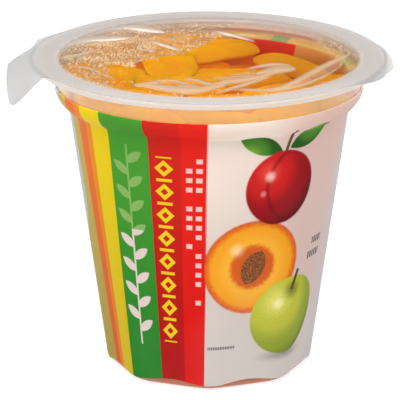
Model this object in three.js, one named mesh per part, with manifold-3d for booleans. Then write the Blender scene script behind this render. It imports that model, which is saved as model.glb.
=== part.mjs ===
// A sealed single-serve fruit cup. A clear moulded cup has a flat sealing flange with a turned-down
// lip, a round collar, and a body that narrows and turns from round to eight-cornered towards its
// base. A thin printed sleeve is shrunk on from the collar to the lower corner, a film lid with a
// pull tab covers the flange, and peach slices fill the inside.
//
// Millimetres, +Z up. The cup's axis is Z, its base stands on Z = 0, its front is towards -Y and
// the pull tab points to -X. Angles run round the axis from the front towards +X; those of the
// film, the tabs and the slices are in degrees and the others in radians.
import * as THREE from "three";
import { mergeVertices } from "three/addons/utils/BufferGeometryUtils.js";
import Module from "manifold-3d";

const { degToRad, clamp, lerp, smoothstep, euclideanModulo } = THREE.MathUtils;

// Cup
const CUP_HEIGHT = 77.9;
const WALL = 0.8;
const BASE_RADIUS = 24.9; // over the corners, just above the lower edge
const LOWER_EDGE_ROUND = 2.6;
const SHOULDER_RADIUS = 34.2;
const SHOULDER_HEIGHT = 67.1;
const COLLAR_RADIUS = 37.6;
const COLLAR_FOOT = 71.7; // where the straight collar starts to roll in to the shoulder
const COLLAR_TOP = 76.0;
const WALL_TURN = 1.3; // the wall starts to turn out into the shoulder this far below it
const TURN_END = { out: 0.75, up: 0.3 }; // and has turned out to this far past it
const ROLL_START_PULL = 2.5; // how far the shoulder keeps that way, as a share of TURN_END
const ROLL_END_PULL = 2.2; // how far below its foot the collar stays nearly upright
const CORNERS = 8;
const CORNER_ROUND = 0.336; // radius of each upright corner, as a share of the body's radius
const CORNER_STRENGTH = 0.885; // how far the body has turned from round to cornered at its base
const GROOVE_INNER = 12.5; // ring pressed up into the base to stiffen it
const GROOVE_OUTER = 18.5;
const GROOVE_DEPTH = 0.6;
const GROOVE_SLOPE = 1.0;

// Flange
const FLANGE_RADIUS = 42.6;
const FLANGE_THICKNESS = 0.9;
const LIP_DEPTH = 1.8;
const LIP_WALL = 0.7;
const EDGE_ROUND = 0.35;
const MOUTH_ROUND = 0.6;

// Film lid
const FILM_GAP = 0.25;
const FILM_THICKNESS = 0.3;
const FILM_SAG = 0.7;
const FILM_EDGE = 43.0;
const FOLD_RADIUS = 42.8; // where the overhanging film starts to bend down
const WINDOW_RADIUS = 36.8;

// Each tab's angles are off its own heading and grow towards the front of the cup. Its edges leave
// the film's circle on straight lines at the two shoulders and meet the line across its end.
const PULL_TAB = {
  heading: 270,
  forwards: 1,
  frontShoulder: 35,
  backShoulder: 37,
  sideTurn: 75.8, // the tab's own sides: the heading of each one's normal
  sideOffset: 24.8, // and its distance from the axis
  reach: 51.9,
  endTurn: -5,
  cornerRound: 3,
  foldRound: 2.2,
  slope: 46, // how steeply the tab hangs
  twist: 13, // its front hangs this much steeper and its back this much flatter
  spread: 14,
  fade: [14, 24], // towards its back shoulder the film stays level
  samples: [-37, -29, -23, -19.2, -16.6, -14.8, -13.4, -12, -10, -7, -3.5, 0]
    .concat([3.5, 7, 10, 12, 13.4, 14.8, 16.6, 19.2, 23, 28, 35]),
};
const SPARE_TAB = {
  heading: 90,
  forwards: -1,
  frontShoulder: 40,
  backShoulder: 21.5,
  sideTurn: 0,
  sideOffset: 0,
  reach: 46.5,
  endTurn: 12,
  cornerRound: 0.6,
  foldRound: 0.9,
  slope: 46,
  twist: 38,
  spread: 9,
  fade: [22, 30],
  samples: [-21.5, -15, -10, -6, -3, 0, 3, 6, 10, 14, 18, 23, 28, 34, 40],
};
const RIM_STEP = 7.5; // between samples of the film's plain round edge
const FILM_RINGS = [12, 24, WINDOW_RADIUS, FOLD_RADIUS];
const HANGING_SHARES = [0.13, 0.3, 0.65, 1]; // rows past the fold, as shares of the way to the edge

// Sleeve
const SLEEVE_GAP = 0.2;
const SLEEVE_THICKNESS = 0.25;
const SLEEVE_TOP = 71.2;
const SLEEVE_TILT = 0.9; // its top edge is this much lower at the right and higher at the left
const SLEEVE_FOOT = 1.1;
const SLEEVE_WAVE = 1.2; // its lower edge rides this much higher over each flat than at a corner
const HEM_ROWS = [0, 0.9, 1.9]; // rows above its lower edge that follow it round the body's edge
const TOP_BAND = 1.8;

// Fruit
const CLEARANCE = 0.35;
const HEAP_LEVEL = 54; // top of the closely packed fruit, below the slices that show
const SLICE_CEILING = 76.6;
const PEACH_RADIUS = 26;
const SLICE_WIDTH = 19;
const SLICE_DEPTH = 14;
const SLICE_SPAN = 44; // half the angle that a slice runs along the peach
const SLICE_CROWN = 1.6; // how far the outer face falls off at its long edges
const SLICE_HEEL = 0.2; // half width of the slice's inner edge, as a share of its width
const SLICE_END = 0.97; // share of the span at which a slice's end is cut off flat
const TAPER_POWER = 0.42; // lower for blunter ends
const CROWN_EDGES = [1, 0.4, -0.4, -1]; // across the outer face, as shares of its half width

// Where the slices lie: centre, turn about Z, pitch and roll of its length, in degrees, and size
// as a share of a whole slice. At the back right, the syrup stands clear down to the core.
const UPPER_SLICES = [
  { x: -10.5, y: -2, z: 68.6, turn: 98, pitch: -4, roll: 20, size: 0.82 },
  { x: 4, y: 11, z: 69.4, turn: 68, pitch: 3, roll: -18, size: 0.9 },
  { x: 19.5, y: 1.5, z: 67.6, turn: 118, pitch: -4, roll: 22, size: 0.8 },
  { x: 4, y: -13, z: 67.4, turn: 14, pitch: 3, roll: 24, size: 0.78 },
  { x: 18, y: -20, z: 66.8, turn: 40, pitch: -3, roll: -22, size: 0.74 },
  { x: 28, y: -12, z: 68.2, turn: 68, pitch: -4, roll: -24, size: 0.72 },
  { x: -22.5, y: -9, z: 67.6, turn: 124, pitch: 4, roll: -26, size: 0.74 },
  { x: -23.5, y: 12, z: 68.4, turn: 66, pitch: 3, roll: 22, size: 0.78 },
  { x: -9, y: 25, z: 67.6, turn: 16, pitch: -3, roll: -24, size: 0.76 },
  { x: -10, y: -25, z: 67.4, turn: 158, pitch: 3, roll: -30, size: 0.76 },
  { x: 4, y: -28.5, z: 67.2, turn: 4, pitch: -2, roll: 34, size: 0.62 },
];
const LOWER_SLICES = [
  { x: -15, y: -13, z: 57.6, turn: 40, pitch: 5, roll: 30, size: 0.9 },
  { x: 11, y: -15, z: 57.2, turn: 152, pitch: -5, roll: -28, size: 0.92 },
  { x: -16, y: 12, z: 57.8, turn: 118, pitch: 4, roll: 24, size: 0.92 },
  { x: 6, y: 5, z: 57.4, turn: 20, pitch: -4, roll: -20, size: 0.96 },
  { x: 22, y: 1, z: 56.6, turn: 96, pitch: 6, roll: 30, size: 0.72 },
];

const AROUND = 48; // sides of the round pieces: six to each corner of the body
const CORE_AROUND = 24;
const ARC_STEPS = 2;
const SLICE_STEPS = 7;

const wasm = await Module();
wasm.setup();

// The point at an angle round the axis, a distance from it and a height.
function place(angle, radius, height) {
  return new THREE.Vector3(Math.sin(angle) * radius, -Math.cos(angle) * radius, height);
}

function evenAngles(count) {
  return Array.from({ length: count }, (_, i) => (i * 2 * Math.PI) / count);
}

// A closed surface through rings of points, each ring turning anticlockwise seen from the way the
// rings advance. It is closed by a point in the middle of its first and last ring, or by joining
// the last ring to the first.
function skin(rings, joined = false) {
  const around = rings[0].length;
  const points = rings.flat();
  const faces = [];
  const link = (from, to) => {
    for (let j = 0; j < around; j++) {
      const k = (j + 1) % around;
      faces.push(from + j, from + k, to + k, from + j, to + k, to + j);
    }
  };
  for (let i = 1; i < rings.length; i++) link((i - 1) * around, i * around);
  const last = (rings.length - 1) * around;
  if (joined) {
    link(last, 0);
  } else {
    const middle = (ring) =>
      ring.reduce((sum, p) => sum.add(p), new THREE.Vector3()).divideScalar(around);
    const start = points.push(middle(rings[0])) - 1;
    const end = points.push(middle(rings.at(-1))) - 1;
    for (let j = 0; j < around; j++) {
      const k = (j + 1) % around;
      faces.push(start, k, j, last + j, last + k, end);
    }
  }
  return new THREE.BufferGeometry().setFromPoints(points).setIndex(faces);
}

function solidOf(geometry) {
  const bare = geometry.clone();
  bare.deleteAttribute("normal");
  bare.deleteAttribute("uv");
  const merged = mergeVertices(bare);
  return new wasm.Manifold(
    new wasm.Mesh({
      numProp: 3,
      vertProperties: merged.attributes.position.array,
      triVerts: new Uint32Array(merged.index.array),
    }),
  );
}

function geometryOf(solid) {
  const mesh = solid.getMesh();
  return new THREE.BufferGeometry()
    .setAttribute("position", new THREE.BufferAttribute(mesh.vertProperties, 3))
    .setIndex(new THREE.BufferAttribute(mesh.triVerts, 1));
}

// Radius of the eight-cornered section at an angle, as a share of its radius over the corners. A
// corner points to the front.
function corneredRadius(angle) {
  const half = Math.PI / CORNERS;
  const offCorner = Math.abs(euclideanModulo(angle + half, 2 * half) - half);
  const centre = 1 - CORNER_ROUND;
  const arcEnd = Math.atan2(
    CORNER_ROUND * Math.sin(half),
    centre + CORNER_ROUND * Math.cos(half),
  );
  if (offCorner > arcEnd)
    return (centre * Math.cos(half) + CORNER_ROUND) / Math.cos(half - offCorner);
  const across = centre * Math.sin(offCorner);
  return centre * Math.cos(offCorner) + Math.sqrt(CORNER_ROUND ** 2 - across ** 2);
}

// The outside of the cup over a corner, as (radius, height) from the edge of the base to the top
// of the collar.
function cupMeridian() {
  const rise = SHOULDER_HEIGHT - LOWER_EDGE_ROUND;
  const lean = Math.atan2(SHOULDER_RADIUS - BASE_RADIUS, rise);
  const pull = (share) => [
    SHOULDER_RADIUS + TURN_END.out * share,
    SHOULDER_HEIGHT + TURN_END.up * share,
  ];
  const path = new THREE.Path();
  path.absarc(
    BASE_RADIUS - LOWER_EDGE_ROUND,
    LOWER_EDGE_ROUND,
    LOWER_EDGE_ROUND,
    -Math.PI / 2,
    -lean,
  );
  path.lineTo(
    SHOULDER_RADIUS - WALL_TURN * Math.sin(lean),
    SHOULDER_HEIGHT - WALL_TURN * Math.cos(lean),
  );
  path.quadraticCurveTo(...pull(0), ...pull(1));
  path.bezierCurveTo(
    ...pull(ROLL_START_PULL),
    COLLAR_RADIUS,
    COLLAR_FOOT - ROLL_END_PULL,
    COLLAR_RADIUS,
    COLLAR_FOOT,
  );
  path.lineTo(COLLAR_RADIUS, COLLAR_TOP);
  return path;
}

const meridian = cupMeridian();

// Places along the meridian, as shares of its length, with the given count of steps on each curve.
function stations(steps) {
  const ends = meridian.getCurveLengths();
  const places = steps.flatMap((count, i) =>
    Array.from({ length: count }, (_, s) => {
      const start = i ? ends[i - 1] : 0;
      return lerp(start, ends[i], s / count) / ends.at(-1);
    }),
  );
  return [...places, 1];
}

// Steps on the meridian's lower edge, wall, turn, roll and collar.
const WALL_STATIONS = stations([4, 4, 2, 5, 1]);
const INSIDE_STATIONS = stations([2, 4, 1, 3, 1]);

// The place along the meridian at a height.
function stationAt(height) {
  let low = 0;
  let high = 1;
  for (let i = 0; i < 30; i++) {
    const middle = (low + high) / 2;
    if (meridian.getPoint(middle).y < height) low = middle;
    else high = middle;
  }
  return low;
}

// A point of the cup's wall, moved outwards by an offset.
function wallPoint(angle, station, offset) {
  const { x: radius, y: height } = meridian.getPoint(station);
  const along = meridian.getTangent(station);
  const rise = (SHOULDER_HEIGHT - height) / (SHOULDER_HEIGHT - LOWER_EDGE_ROUND);
  const strength = CORNER_STRENGTH * clamp(rise, 0, 1);
  const cornered = lerp(1, corneredRadius(angle), strength);
  return place(angle, radius * cornered + offset * along.y, height - offset * along.x);
}

function wallRing(station, offset, around = AROUND) {
  return evenAngles(around).map((angle) => wallPoint(angle, station, offset));
}

function roundRing(radius, height, around = AROUND) {
  return evenAngles(around).map((angle) => place(angle, radius, height));
}

// The base panel's rings from the middle out, at a height above the standing face.
function basePanel(height) {
  return [
    roundRing(GROOVE_INNER, height),
    roundRing(GROOVE_INNER + GROOVE_SLOPE, height + GROOVE_DEPTH),
    roundRing(GROOVE_OUTER - GROOVE_SLOPE, height + GROOVE_DEPTH),
    roundRing(GROOVE_OUTER, height),
  ];
}

// Rings along an arc about a (radius, height) centre, between two angles in degrees that grow from
// outwards to upwards.
function arcRings(radius, height, round, from, to) {
  return Array.from({ length: ARC_STEPS + 1 }, (_, step) => {
    const angle = degToRad(lerp(from, to, step / ARC_STEPS));
    return roundRing(radius + round * Math.cos(angle), height + round * Math.sin(angle));
  });
}

function cupGeometry() {
  const underside = CUP_HEIGHT - FLANGE_THICKNESS;
  const fillet = underside - COLLAR_TOP;
  const lipInside = FLANGE_RADIUS - LIP_WALL;
  const lipFoot = CUP_HEIGHT - LIP_DEPTH;
  const edge = [FLANGE_RADIUS - EDGE_ROUND, CUP_HEIGHT - EDGE_ROUND];
  const mouth = [COLLAR_RADIUS - WALL + MOUTH_ROUND, CUP_HEIGHT - MOUTH_ROUND];
  return skin([
    ...basePanel(0),
    ...WALL_STATIONS.map((station) => wallRing(station, 0)),
    ...arcRings(COLLAR_RADIUS + fillet, COLLAR_TOP, fillet, 180, 90).slice(1),
    roundRing(lipInside, underside),
    roundRing(lipInside, lipFoot),
    roundRing(FLANGE_RADIUS, lipFoot),
    ...arcRings(...edge, EDGE_ROUND, 0, 90),
    ...arcRings(...mouth, MOUTH_ROUND, 90, 180),
    ...INSIDE_STATIONS.toReversed().map((station) => wallRing(station, -WALL)),
    ...basePanel(WALL).toReversed(),
  ]);
}

// The sleeve's upper edge is level but for its tilt, and its lower edge follows the body's
// corners. Between its hem and its top band it lies on the same stations as the wall.
function sleeveGeometry() {
  const top = (angle) => SLEEVE_TOP - SLEEVE_TILT * Math.sin(angle);
  const foot = (angle) => SLEEVE_FOOT + (SLEEVE_WAVE * (1 - Math.cos(CORNERS * angle))) / 2;
  const shared = WALL_STATIONS.filter((station) => {
    const { y: height } = meridian.getPoint(station);
    return height > 2 * LOWER_EDGE_ROUND && height < SLEEVE_TOP - TOP_BAND;
  });
  const { y: bandFoot } = meridian.getPoint(shared.at(-1));
  const angles = evenAngles(AROUND);
  const row = (heightAt, offset) =>
    angles.map((angle) => wallPoint(angle, stationAt(heightAt(angle)), offset));
  const side = (offset) => [
    ...HEM_ROWS.map((rise) => row((angle) => foot(angle) + rise, offset)),
    ...shared.map((station) => wallRing(station, offset)),
    row((angle) => (bandFoot + top(angle)) / 2, offset),
    row(top, offset),
  ];
  const outside = side(SLEEVE_GAP + SLEEVE_THICKNESS);
  return skin([...outside, ...side(SLEEVE_GAP).toReversed()], true);
}

// Flat distance from the axis to the film's edge, at an angle forwards of a tab's heading.
function tabEdge(tab, forwards) {
  const shoulder = forwards > 0 ? tab.frontShoulder : tab.backShoulder;
  const off = Math.abs(forwards);
  if (off >= shoulder) return FILM_EDGE;
  const tangent = FILM_EDGE / Math.cos(degToRad(shoulder - off));
  const side = Math.max(tangent, tab.sideOffset / Math.cos(degToRad(tab.sideTurn - off)));
  const end = tab.reach / Math.cos(degToRad(forwards - tab.endTurn));
  const blend = Math.max(0, 1 - Math.abs(side - end) / tab.cornerRound);
  return Math.min(side, end) - (tab.cornerRound * blend ** 2) / 4;
}

// How steeply the film hangs past the fold, at an angle forwards of a tab's heading.
function hangingSlope(tab, forwards) {
  const full = tab.slope + tab.twist * clamp(forwards / tab.spread, -1, 1);
  return degToRad(full * (1 - smoothstep(-forwards, ...tab.fade)));
}

// The tab on an angle's side of the cup, and the angle forwards of its heading.
function nearestTab(turn) {
  const tab = turn > 180 ? PULL_TAB : SPARE_TAB;
  return { tab, forwards: tab.forwards * (turn - tab.heading) };
}

// A point of the film at an angle and a flat distance from the axis, pushed off its upper face by
// a depth. The film sags a little inside the cup's mouth and bends down past the fold.
function filmPoint(turn, distance, depth) {
  const top = CUP_HEIGHT + FILM_GAP + FILM_THICKNESS;
  if (distance <= FOLD_RADIUS) {
    const inside = Math.min(distance / WINDOW_RADIUS, 1);
    return place(degToRad(turn), distance, top - FILM_SAG * (1 - inside ** 2) ** 2 - depth);
  }
  const { tab, forwards } = nearestTab(turn);
  const slope = hangingSlope(tab, forwards);
  const overhang = distance - FOLD_RADIUS;
  const bend = Math.min(overhang / tab.foldRound, slope);
  const straight = Math.max(0, overhang - tab.foldRound * slope);
  const radius = tab.foldRound - depth;
  return place(
    degToRad(turn),
    FOLD_RADIUS + radius * Math.sin(bend) + straight * Math.cos(bend),
    top - tab.foldRound + radius * Math.cos(bend) - straight * Math.sin(bend),
  );
}

// The angles that the film is sampled at: finely at the tabs, and evenly between them.
function filmTurns() {
  const atTabs = [PULL_TAB, SPARE_TAB].flatMap((tab) =>
    tab.samples.map((forwards) => tab.heading + tab.forwards * forwards),
  );
  const margin = RIM_STEP / 4;
  const plain = Array.from({ length: 360 / RIM_STEP }, (_, i) => i * RIM_STEP).filter((turn) => {
    const { tab, forwards } = nearestTab(turn);
    return forwards < tab.samples[0] - margin || forwards > tab.samples.at(-1) + margin;
  });
  return [...atTabs, ...plain].sort((a, b) => a - b);
}

function filmGeometry() {
  const turns = filmTurns();
  const edges = turns.map((turn) => {
    const { tab, forwards } = nearestTab(turn);
    return tabEdge(tab, forwards);
  });
  const side = (depth) => [
    ...FILM_RINGS.map((distance) => turns.map((turn) => filmPoint(turn, distance, depth))),
    ...HANGING_SHARES.map((share) =>
      turns.map((turn, i) => filmPoint(turn, lerp(FOLD_RADIUS, edges[i], share), depth)),
    ),
  ];
  return skin([...side(FILM_THICKNESS), ...side(0).toReversed()]);
}

// A peach slice lying along X with its round outer face up: the wedge between two cuts from the
// skin to the stone, deepest in the middle and running out to a blunt point at both ends.
function sliceGeometry(size) {
  const rings = Array.from({ length: SLICE_STEPS + 1 }, (_, step) => {
    const share = lerp(-SLICE_END, SLICE_END, step / SLICE_STEPS);
    const along = degToRad(SLICE_SPAN * share);
    const taper = Math.cos((share * Math.PI) / 2) ** TAPER_POWER;
    const point = (across, below) => {
      const radius = PEACH_RADIUS - below * taper;
      return new THREE.Vector3(
        Math.sin(along) * radius,
        across * SLICE_WIDTH * taper,
        Math.cos(along) * radius - PEACH_RADIUS + SLICE_DEPTH / 2,
      ).multiplyScalar(size);
    };
    return [
      ...CROWN_EDGES.map((edge) => point(edge / 2, SLICE_CROWN * edge ** 2)),
      point(-SLICE_HEEL, SLICE_DEPTH),
      point(SLICE_HEEL, SLICE_DEPTH),
    ];
  });
  return skin(rings);
}

// The inside of the cup, less a clearance, from a low height up to a ceiling.
function insideGeometry(ceiling, around) {
  const floor = WALL + GROOVE_DEPTH + CLEARANCE;
  const rings = INSIDE_STATIONS.filter((station) => meridian.getPoint(station).y < ceiling).map(
    (station) => wallRing(station, -WALL - CLEARANCE, around),
  );
  const top = rings.at(-1).map((point) => point.clone().setZ(ceiling));
  for (const point of rings.flat()) point.z = Math.max(point.z, floor);
  return skin([...rings.slice(1), top]);
}

function slice({ x, y, z, turn, pitch, roll, size }) {
  const pose = new THREE.Euler(degToRad(roll), degToRad(pitch), degToRad(turn), "ZYX");
  const matrix = new THREE.Matrix4().makeRotationFromEuler(pose).setPosition(x, y, z);
  return solidOf(sliceGeometry(size).applyMatrix4(matrix));
}

// Peach slices packed to the wall: a core of closely packed fruit, with the slices that show
// standing out of it.
function heapGeometry() {
  const slices = [...LOWER_SLICES, ...UPPER_SLICES].map(slice);
  const loose = slices.reduce((sum, next) => sum.add(next));
  const trimmed = loose.intersect(solidOf(insideGeometry(SLICE_CEILING, AROUND)));
  return geometryOf(solidOf(insideGeometry(HEAP_LEVEL, CORE_AROUND)).add(trimmed));
}

function piece(name, geometry, finish) {
  const mesh = new THREE.Mesh(geometry, new THREE.MeshStandardMaterial(finish));
  mesh.name = name;
  return mesh;
}

const fruitCup = new THREE.Group();
fruitCup.add(
  piece("cup", cupGeometry(), {
    color: 0xe6e3df,
    roughness: 0.3,
    metalness: 0,
    transparent: true,
    opacity: 0.45,
  }),
  piece("label", sleeveGeometry(), { color: 0xe3d3cc, roughness: 0.4, metalness: 0 }),
  piece("film_lid", filmGeometry(), {
    color: 0xe9e8e6,
    roughness: 0.25,
    metalness: 0,
    transparent: true,
    opacity: 0.35,
  }),
  piece("fruit_heap", heapGeometry(), { color: 0xe79a1e, roughness: 0.35, metalness: 0 }),
);

export default fruitCup;
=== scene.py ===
"""The looks of a sealed single-serve fruit cup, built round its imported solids.

All sizes are in millimetres and become metres where a mesh is made. Angles run round the cup's axis
from its front, -Y, towards +X, and are in degrees unless a name says otherwise.
"""

import logging
import math
import random
from collections.abc import Iterable, Sequence
from dataclasses import dataclass, field, replace
from enum import Enum

import bpy
import numpy as np
from mathutils import Euler, Matrix, Vector, noise


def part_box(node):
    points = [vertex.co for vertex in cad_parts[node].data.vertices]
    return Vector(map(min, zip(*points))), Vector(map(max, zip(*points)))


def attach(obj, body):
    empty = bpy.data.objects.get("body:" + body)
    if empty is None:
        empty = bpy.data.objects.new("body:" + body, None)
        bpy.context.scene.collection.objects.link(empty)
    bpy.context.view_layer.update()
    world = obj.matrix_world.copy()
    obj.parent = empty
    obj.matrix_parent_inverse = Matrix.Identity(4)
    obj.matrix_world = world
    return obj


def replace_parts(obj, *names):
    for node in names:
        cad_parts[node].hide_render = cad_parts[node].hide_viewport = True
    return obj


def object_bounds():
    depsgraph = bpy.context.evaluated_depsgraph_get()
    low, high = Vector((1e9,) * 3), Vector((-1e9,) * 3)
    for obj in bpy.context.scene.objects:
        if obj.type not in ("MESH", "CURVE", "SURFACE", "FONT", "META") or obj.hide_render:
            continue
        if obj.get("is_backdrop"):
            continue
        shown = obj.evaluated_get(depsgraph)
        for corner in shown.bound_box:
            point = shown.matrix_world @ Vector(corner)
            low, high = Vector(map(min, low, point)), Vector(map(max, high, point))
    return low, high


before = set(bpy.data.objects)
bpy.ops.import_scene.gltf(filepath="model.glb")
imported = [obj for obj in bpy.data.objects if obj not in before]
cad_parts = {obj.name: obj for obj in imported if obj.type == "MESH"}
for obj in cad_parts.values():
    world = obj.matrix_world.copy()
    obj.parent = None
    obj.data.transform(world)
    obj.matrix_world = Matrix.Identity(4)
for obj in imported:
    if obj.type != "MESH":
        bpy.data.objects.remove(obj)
CAD_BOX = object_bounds()

MM = 0.001
BODY = "root"
FULL_TURN = 360.0
SEED = 7
SHARP_EDGE = 50.0

# Values that a mesh holds at its points, for its finish to read.
# Where the film's creases are painted pale, as painted highlights.
FOLD_SHINE = "pale"
FOAMY = "foamy"
STONE_SIDE = "stone_side"

log = logging.getLogger("fruit_cup")

Colour = tuple[float, float, float, float]
Range = tuple[float, float]
Socket = bpy.types.NodeSocket
Faces = list[tuple[int, ...]]
Part = tuple[np.ndarray, Faces]


def srgb(red: int, green: int, blue: int) -> Colour:
    """A colour given as it shows on a screen, made linear for a shader.

    Args:
        red, green, blue: the three parts, from 0 to 255.

    Returns:
        Linear red, green and blue, and an alpha of 1.
    """

    def linear(part: int) -> float:
        """One part, made linear by the usual curve of screens."""
        share = part / 255
        return share / 12.92 if share <= 0.04045 else ((share + 0.055) / 1.055) ** 2.4

    return (linear(red), linear(green), linear(blue), 1.0)


WHITE = srgb(255, 255, 255)


def smoothstep(low: float, high: float, value: np.ndarray) -> np.ndarray:
    """A smooth rise from 0 at low to 1 at high.

    Args:
        low, high: where the rise starts and ends; high may be the lower of the two.
        value: the numbers to read it at.

    Returns:
        The rise at each number.
    """
    share = np.clip((value - low) / (high - low), 0, 1)
    return share * share * (3 - 2 * share)


# ---------------------------------------------------------------------------------------------
# Meshes
# ---------------------------------------------------------------------------------------------


class Ends(Enum):
    """How a skin of rings is closed."""

    CAPPED = "capped"
    JOINED = "joined"


def ring_faces(rows: int, around: int, ends: Ends) -> Faces:
    """The faces of a skin through rows of points, each row a closed ring.

    Args:
        rows: how many rings there are.
        around: how many points each has.
        ends: CAPPED adds fans to two points that follow the rings' own, JOINED links the last
            ring to the first.

    Returns:
        The faces, as indices of their points.
    """
    faces = []
    steps = range(rows) if ends is Ends.JOINED else range(rows - 1)
    for row in steps:
        start, following = row * around, (row + 1) % rows * around
        for i in range(around):
            j = (i + 1) % around
            faces.append((start + i, start + j, following + j, following + i))
    if ends is Ends.CAPPED:
        first, last, top = rows * around, rows * around + 1, (rows - 1) * around
        for i in range(around):
            j = (i + 1) % around
            faces.append((first, j, i))
            faces.append((last, top + i, top + j))
    return faces


def mesh_object(name: str, points: np.ndarray, faces: Faces) -> bpy.types.Object:
    """A smooth-shaded mesh in the scene, whose sharp edges stay sharp.

    Args:
        name: the piece's name.
        points: its points in millimetres, one a row.
        faces: its faces.

    Returns:
        The new object.
    """
    mesh = bpy.data.meshes.new(name)
    mesh.from_pydata((points * MM).tolist(), [], faces)
    mesh.validate()
    mesh.shade_smooth()
    mesh.set_sharp_from_angle(angle=math.radians(SHARP_EDGE))
    piece = bpy.data.objects.new(name, mesh)
    bpy.context.scene.collection.objects.link(piece)
    return piece


def capped(rings: np.ndarray) -> Part:
    """A skin through rings of points, closed with a fan at each end.

    Args:
        rings: an array of rings by points by three, in millimetres.

    Returns:
        Its points and faces.
    """
    rows, around, _ = rings.shape
    points = np.vstack([rings.reshape(-1, 3), rings[0].mean(0), rings[-1].mean(0)])
    return points, ring_faces(rows, around, Ends.CAPPED)


def skin(name: str, rings: np.ndarray, ends: Ends) -> bpy.types.Object:
    """A closed mesh through rings of points.

    Args:
        name: the piece's name.
        rings: an array of rings by points by three, in millimetres, each ring turning
            anticlockwise seen from the way the rings advance.
        ends: how it is closed.

    Returns:
        The new object.
    """
    if ends is Ends.CAPPED:
        return mesh_object(name, *capped(rings))
    rows, around, _ = rings.shape
    return mesh_object(name, rings.reshape(-1, 3), ring_faces(rows, around, ends))


def mesh_points(piece: bpy.types.Object) -> np.ndarray:
    """Reads a piece's points.

    Args:
        piece: a mesh object.

    Returns:
        Its points in millimetres, one a row.
    """
    points = np.empty(len(piece.data.vertices) * 3)
    piece.data.vertices.foreach_get("co", points)
    return points.reshape(-1, 3) / MM


def mark(piece: bpy.types.Object, name: str, values: np.ndarray) -> None:
    """Gives a piece a named value at each of its points, for its finish to read."""
    piece.data.attributes.new(name, "FLOAT", "POINT").data.foreach_set("value", values)


def joined(name: str, parts: Iterable[Part]) -> bpy.types.Object:
    """One mesh of many loose parts.

    Args:
        name: the piece's name.
        parts: points in millimetres and faces of each part.

    Returns:
        The new object.
    """
    points, faces, count = [], [], 0
    for part_points, part_faces in parts:
        points.append(part_points)
        faces.extend(tuple(count + i for i in face) for face in part_faces)
        count += len(part_points)
    return mesh_object(name, np.vstack(points), faces)


def settle(piece: bpy.types.Object, slot: str, finish: bpy.types.Material) -> bpy.types.Object:
    """Dresses a piece, fixes it to the cup's body and reports it.

    Args:
        piece: the piece.
        slot: the record's material slot that it stands for.
        finish: its material.

    Returns:
        The same piece.
    """
    piece.data.materials.append(finish)
    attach(piece, BODY)
    log.info("%s: %d faces, %s", piece.name, len(piece.data.polygons), slot)
    return piece


def lets_lamps_through(piece: bpy.types.Object) -> bpy.types.Object:
    """Keeps a clear piece from shading what is behind it, and gives it back."""
    piece.visible_shadow = False
    return piece


# ---------------------------------------------------------------------------------------------
# The cup's form
# ---------------------------------------------------------------------------------------------


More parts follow.
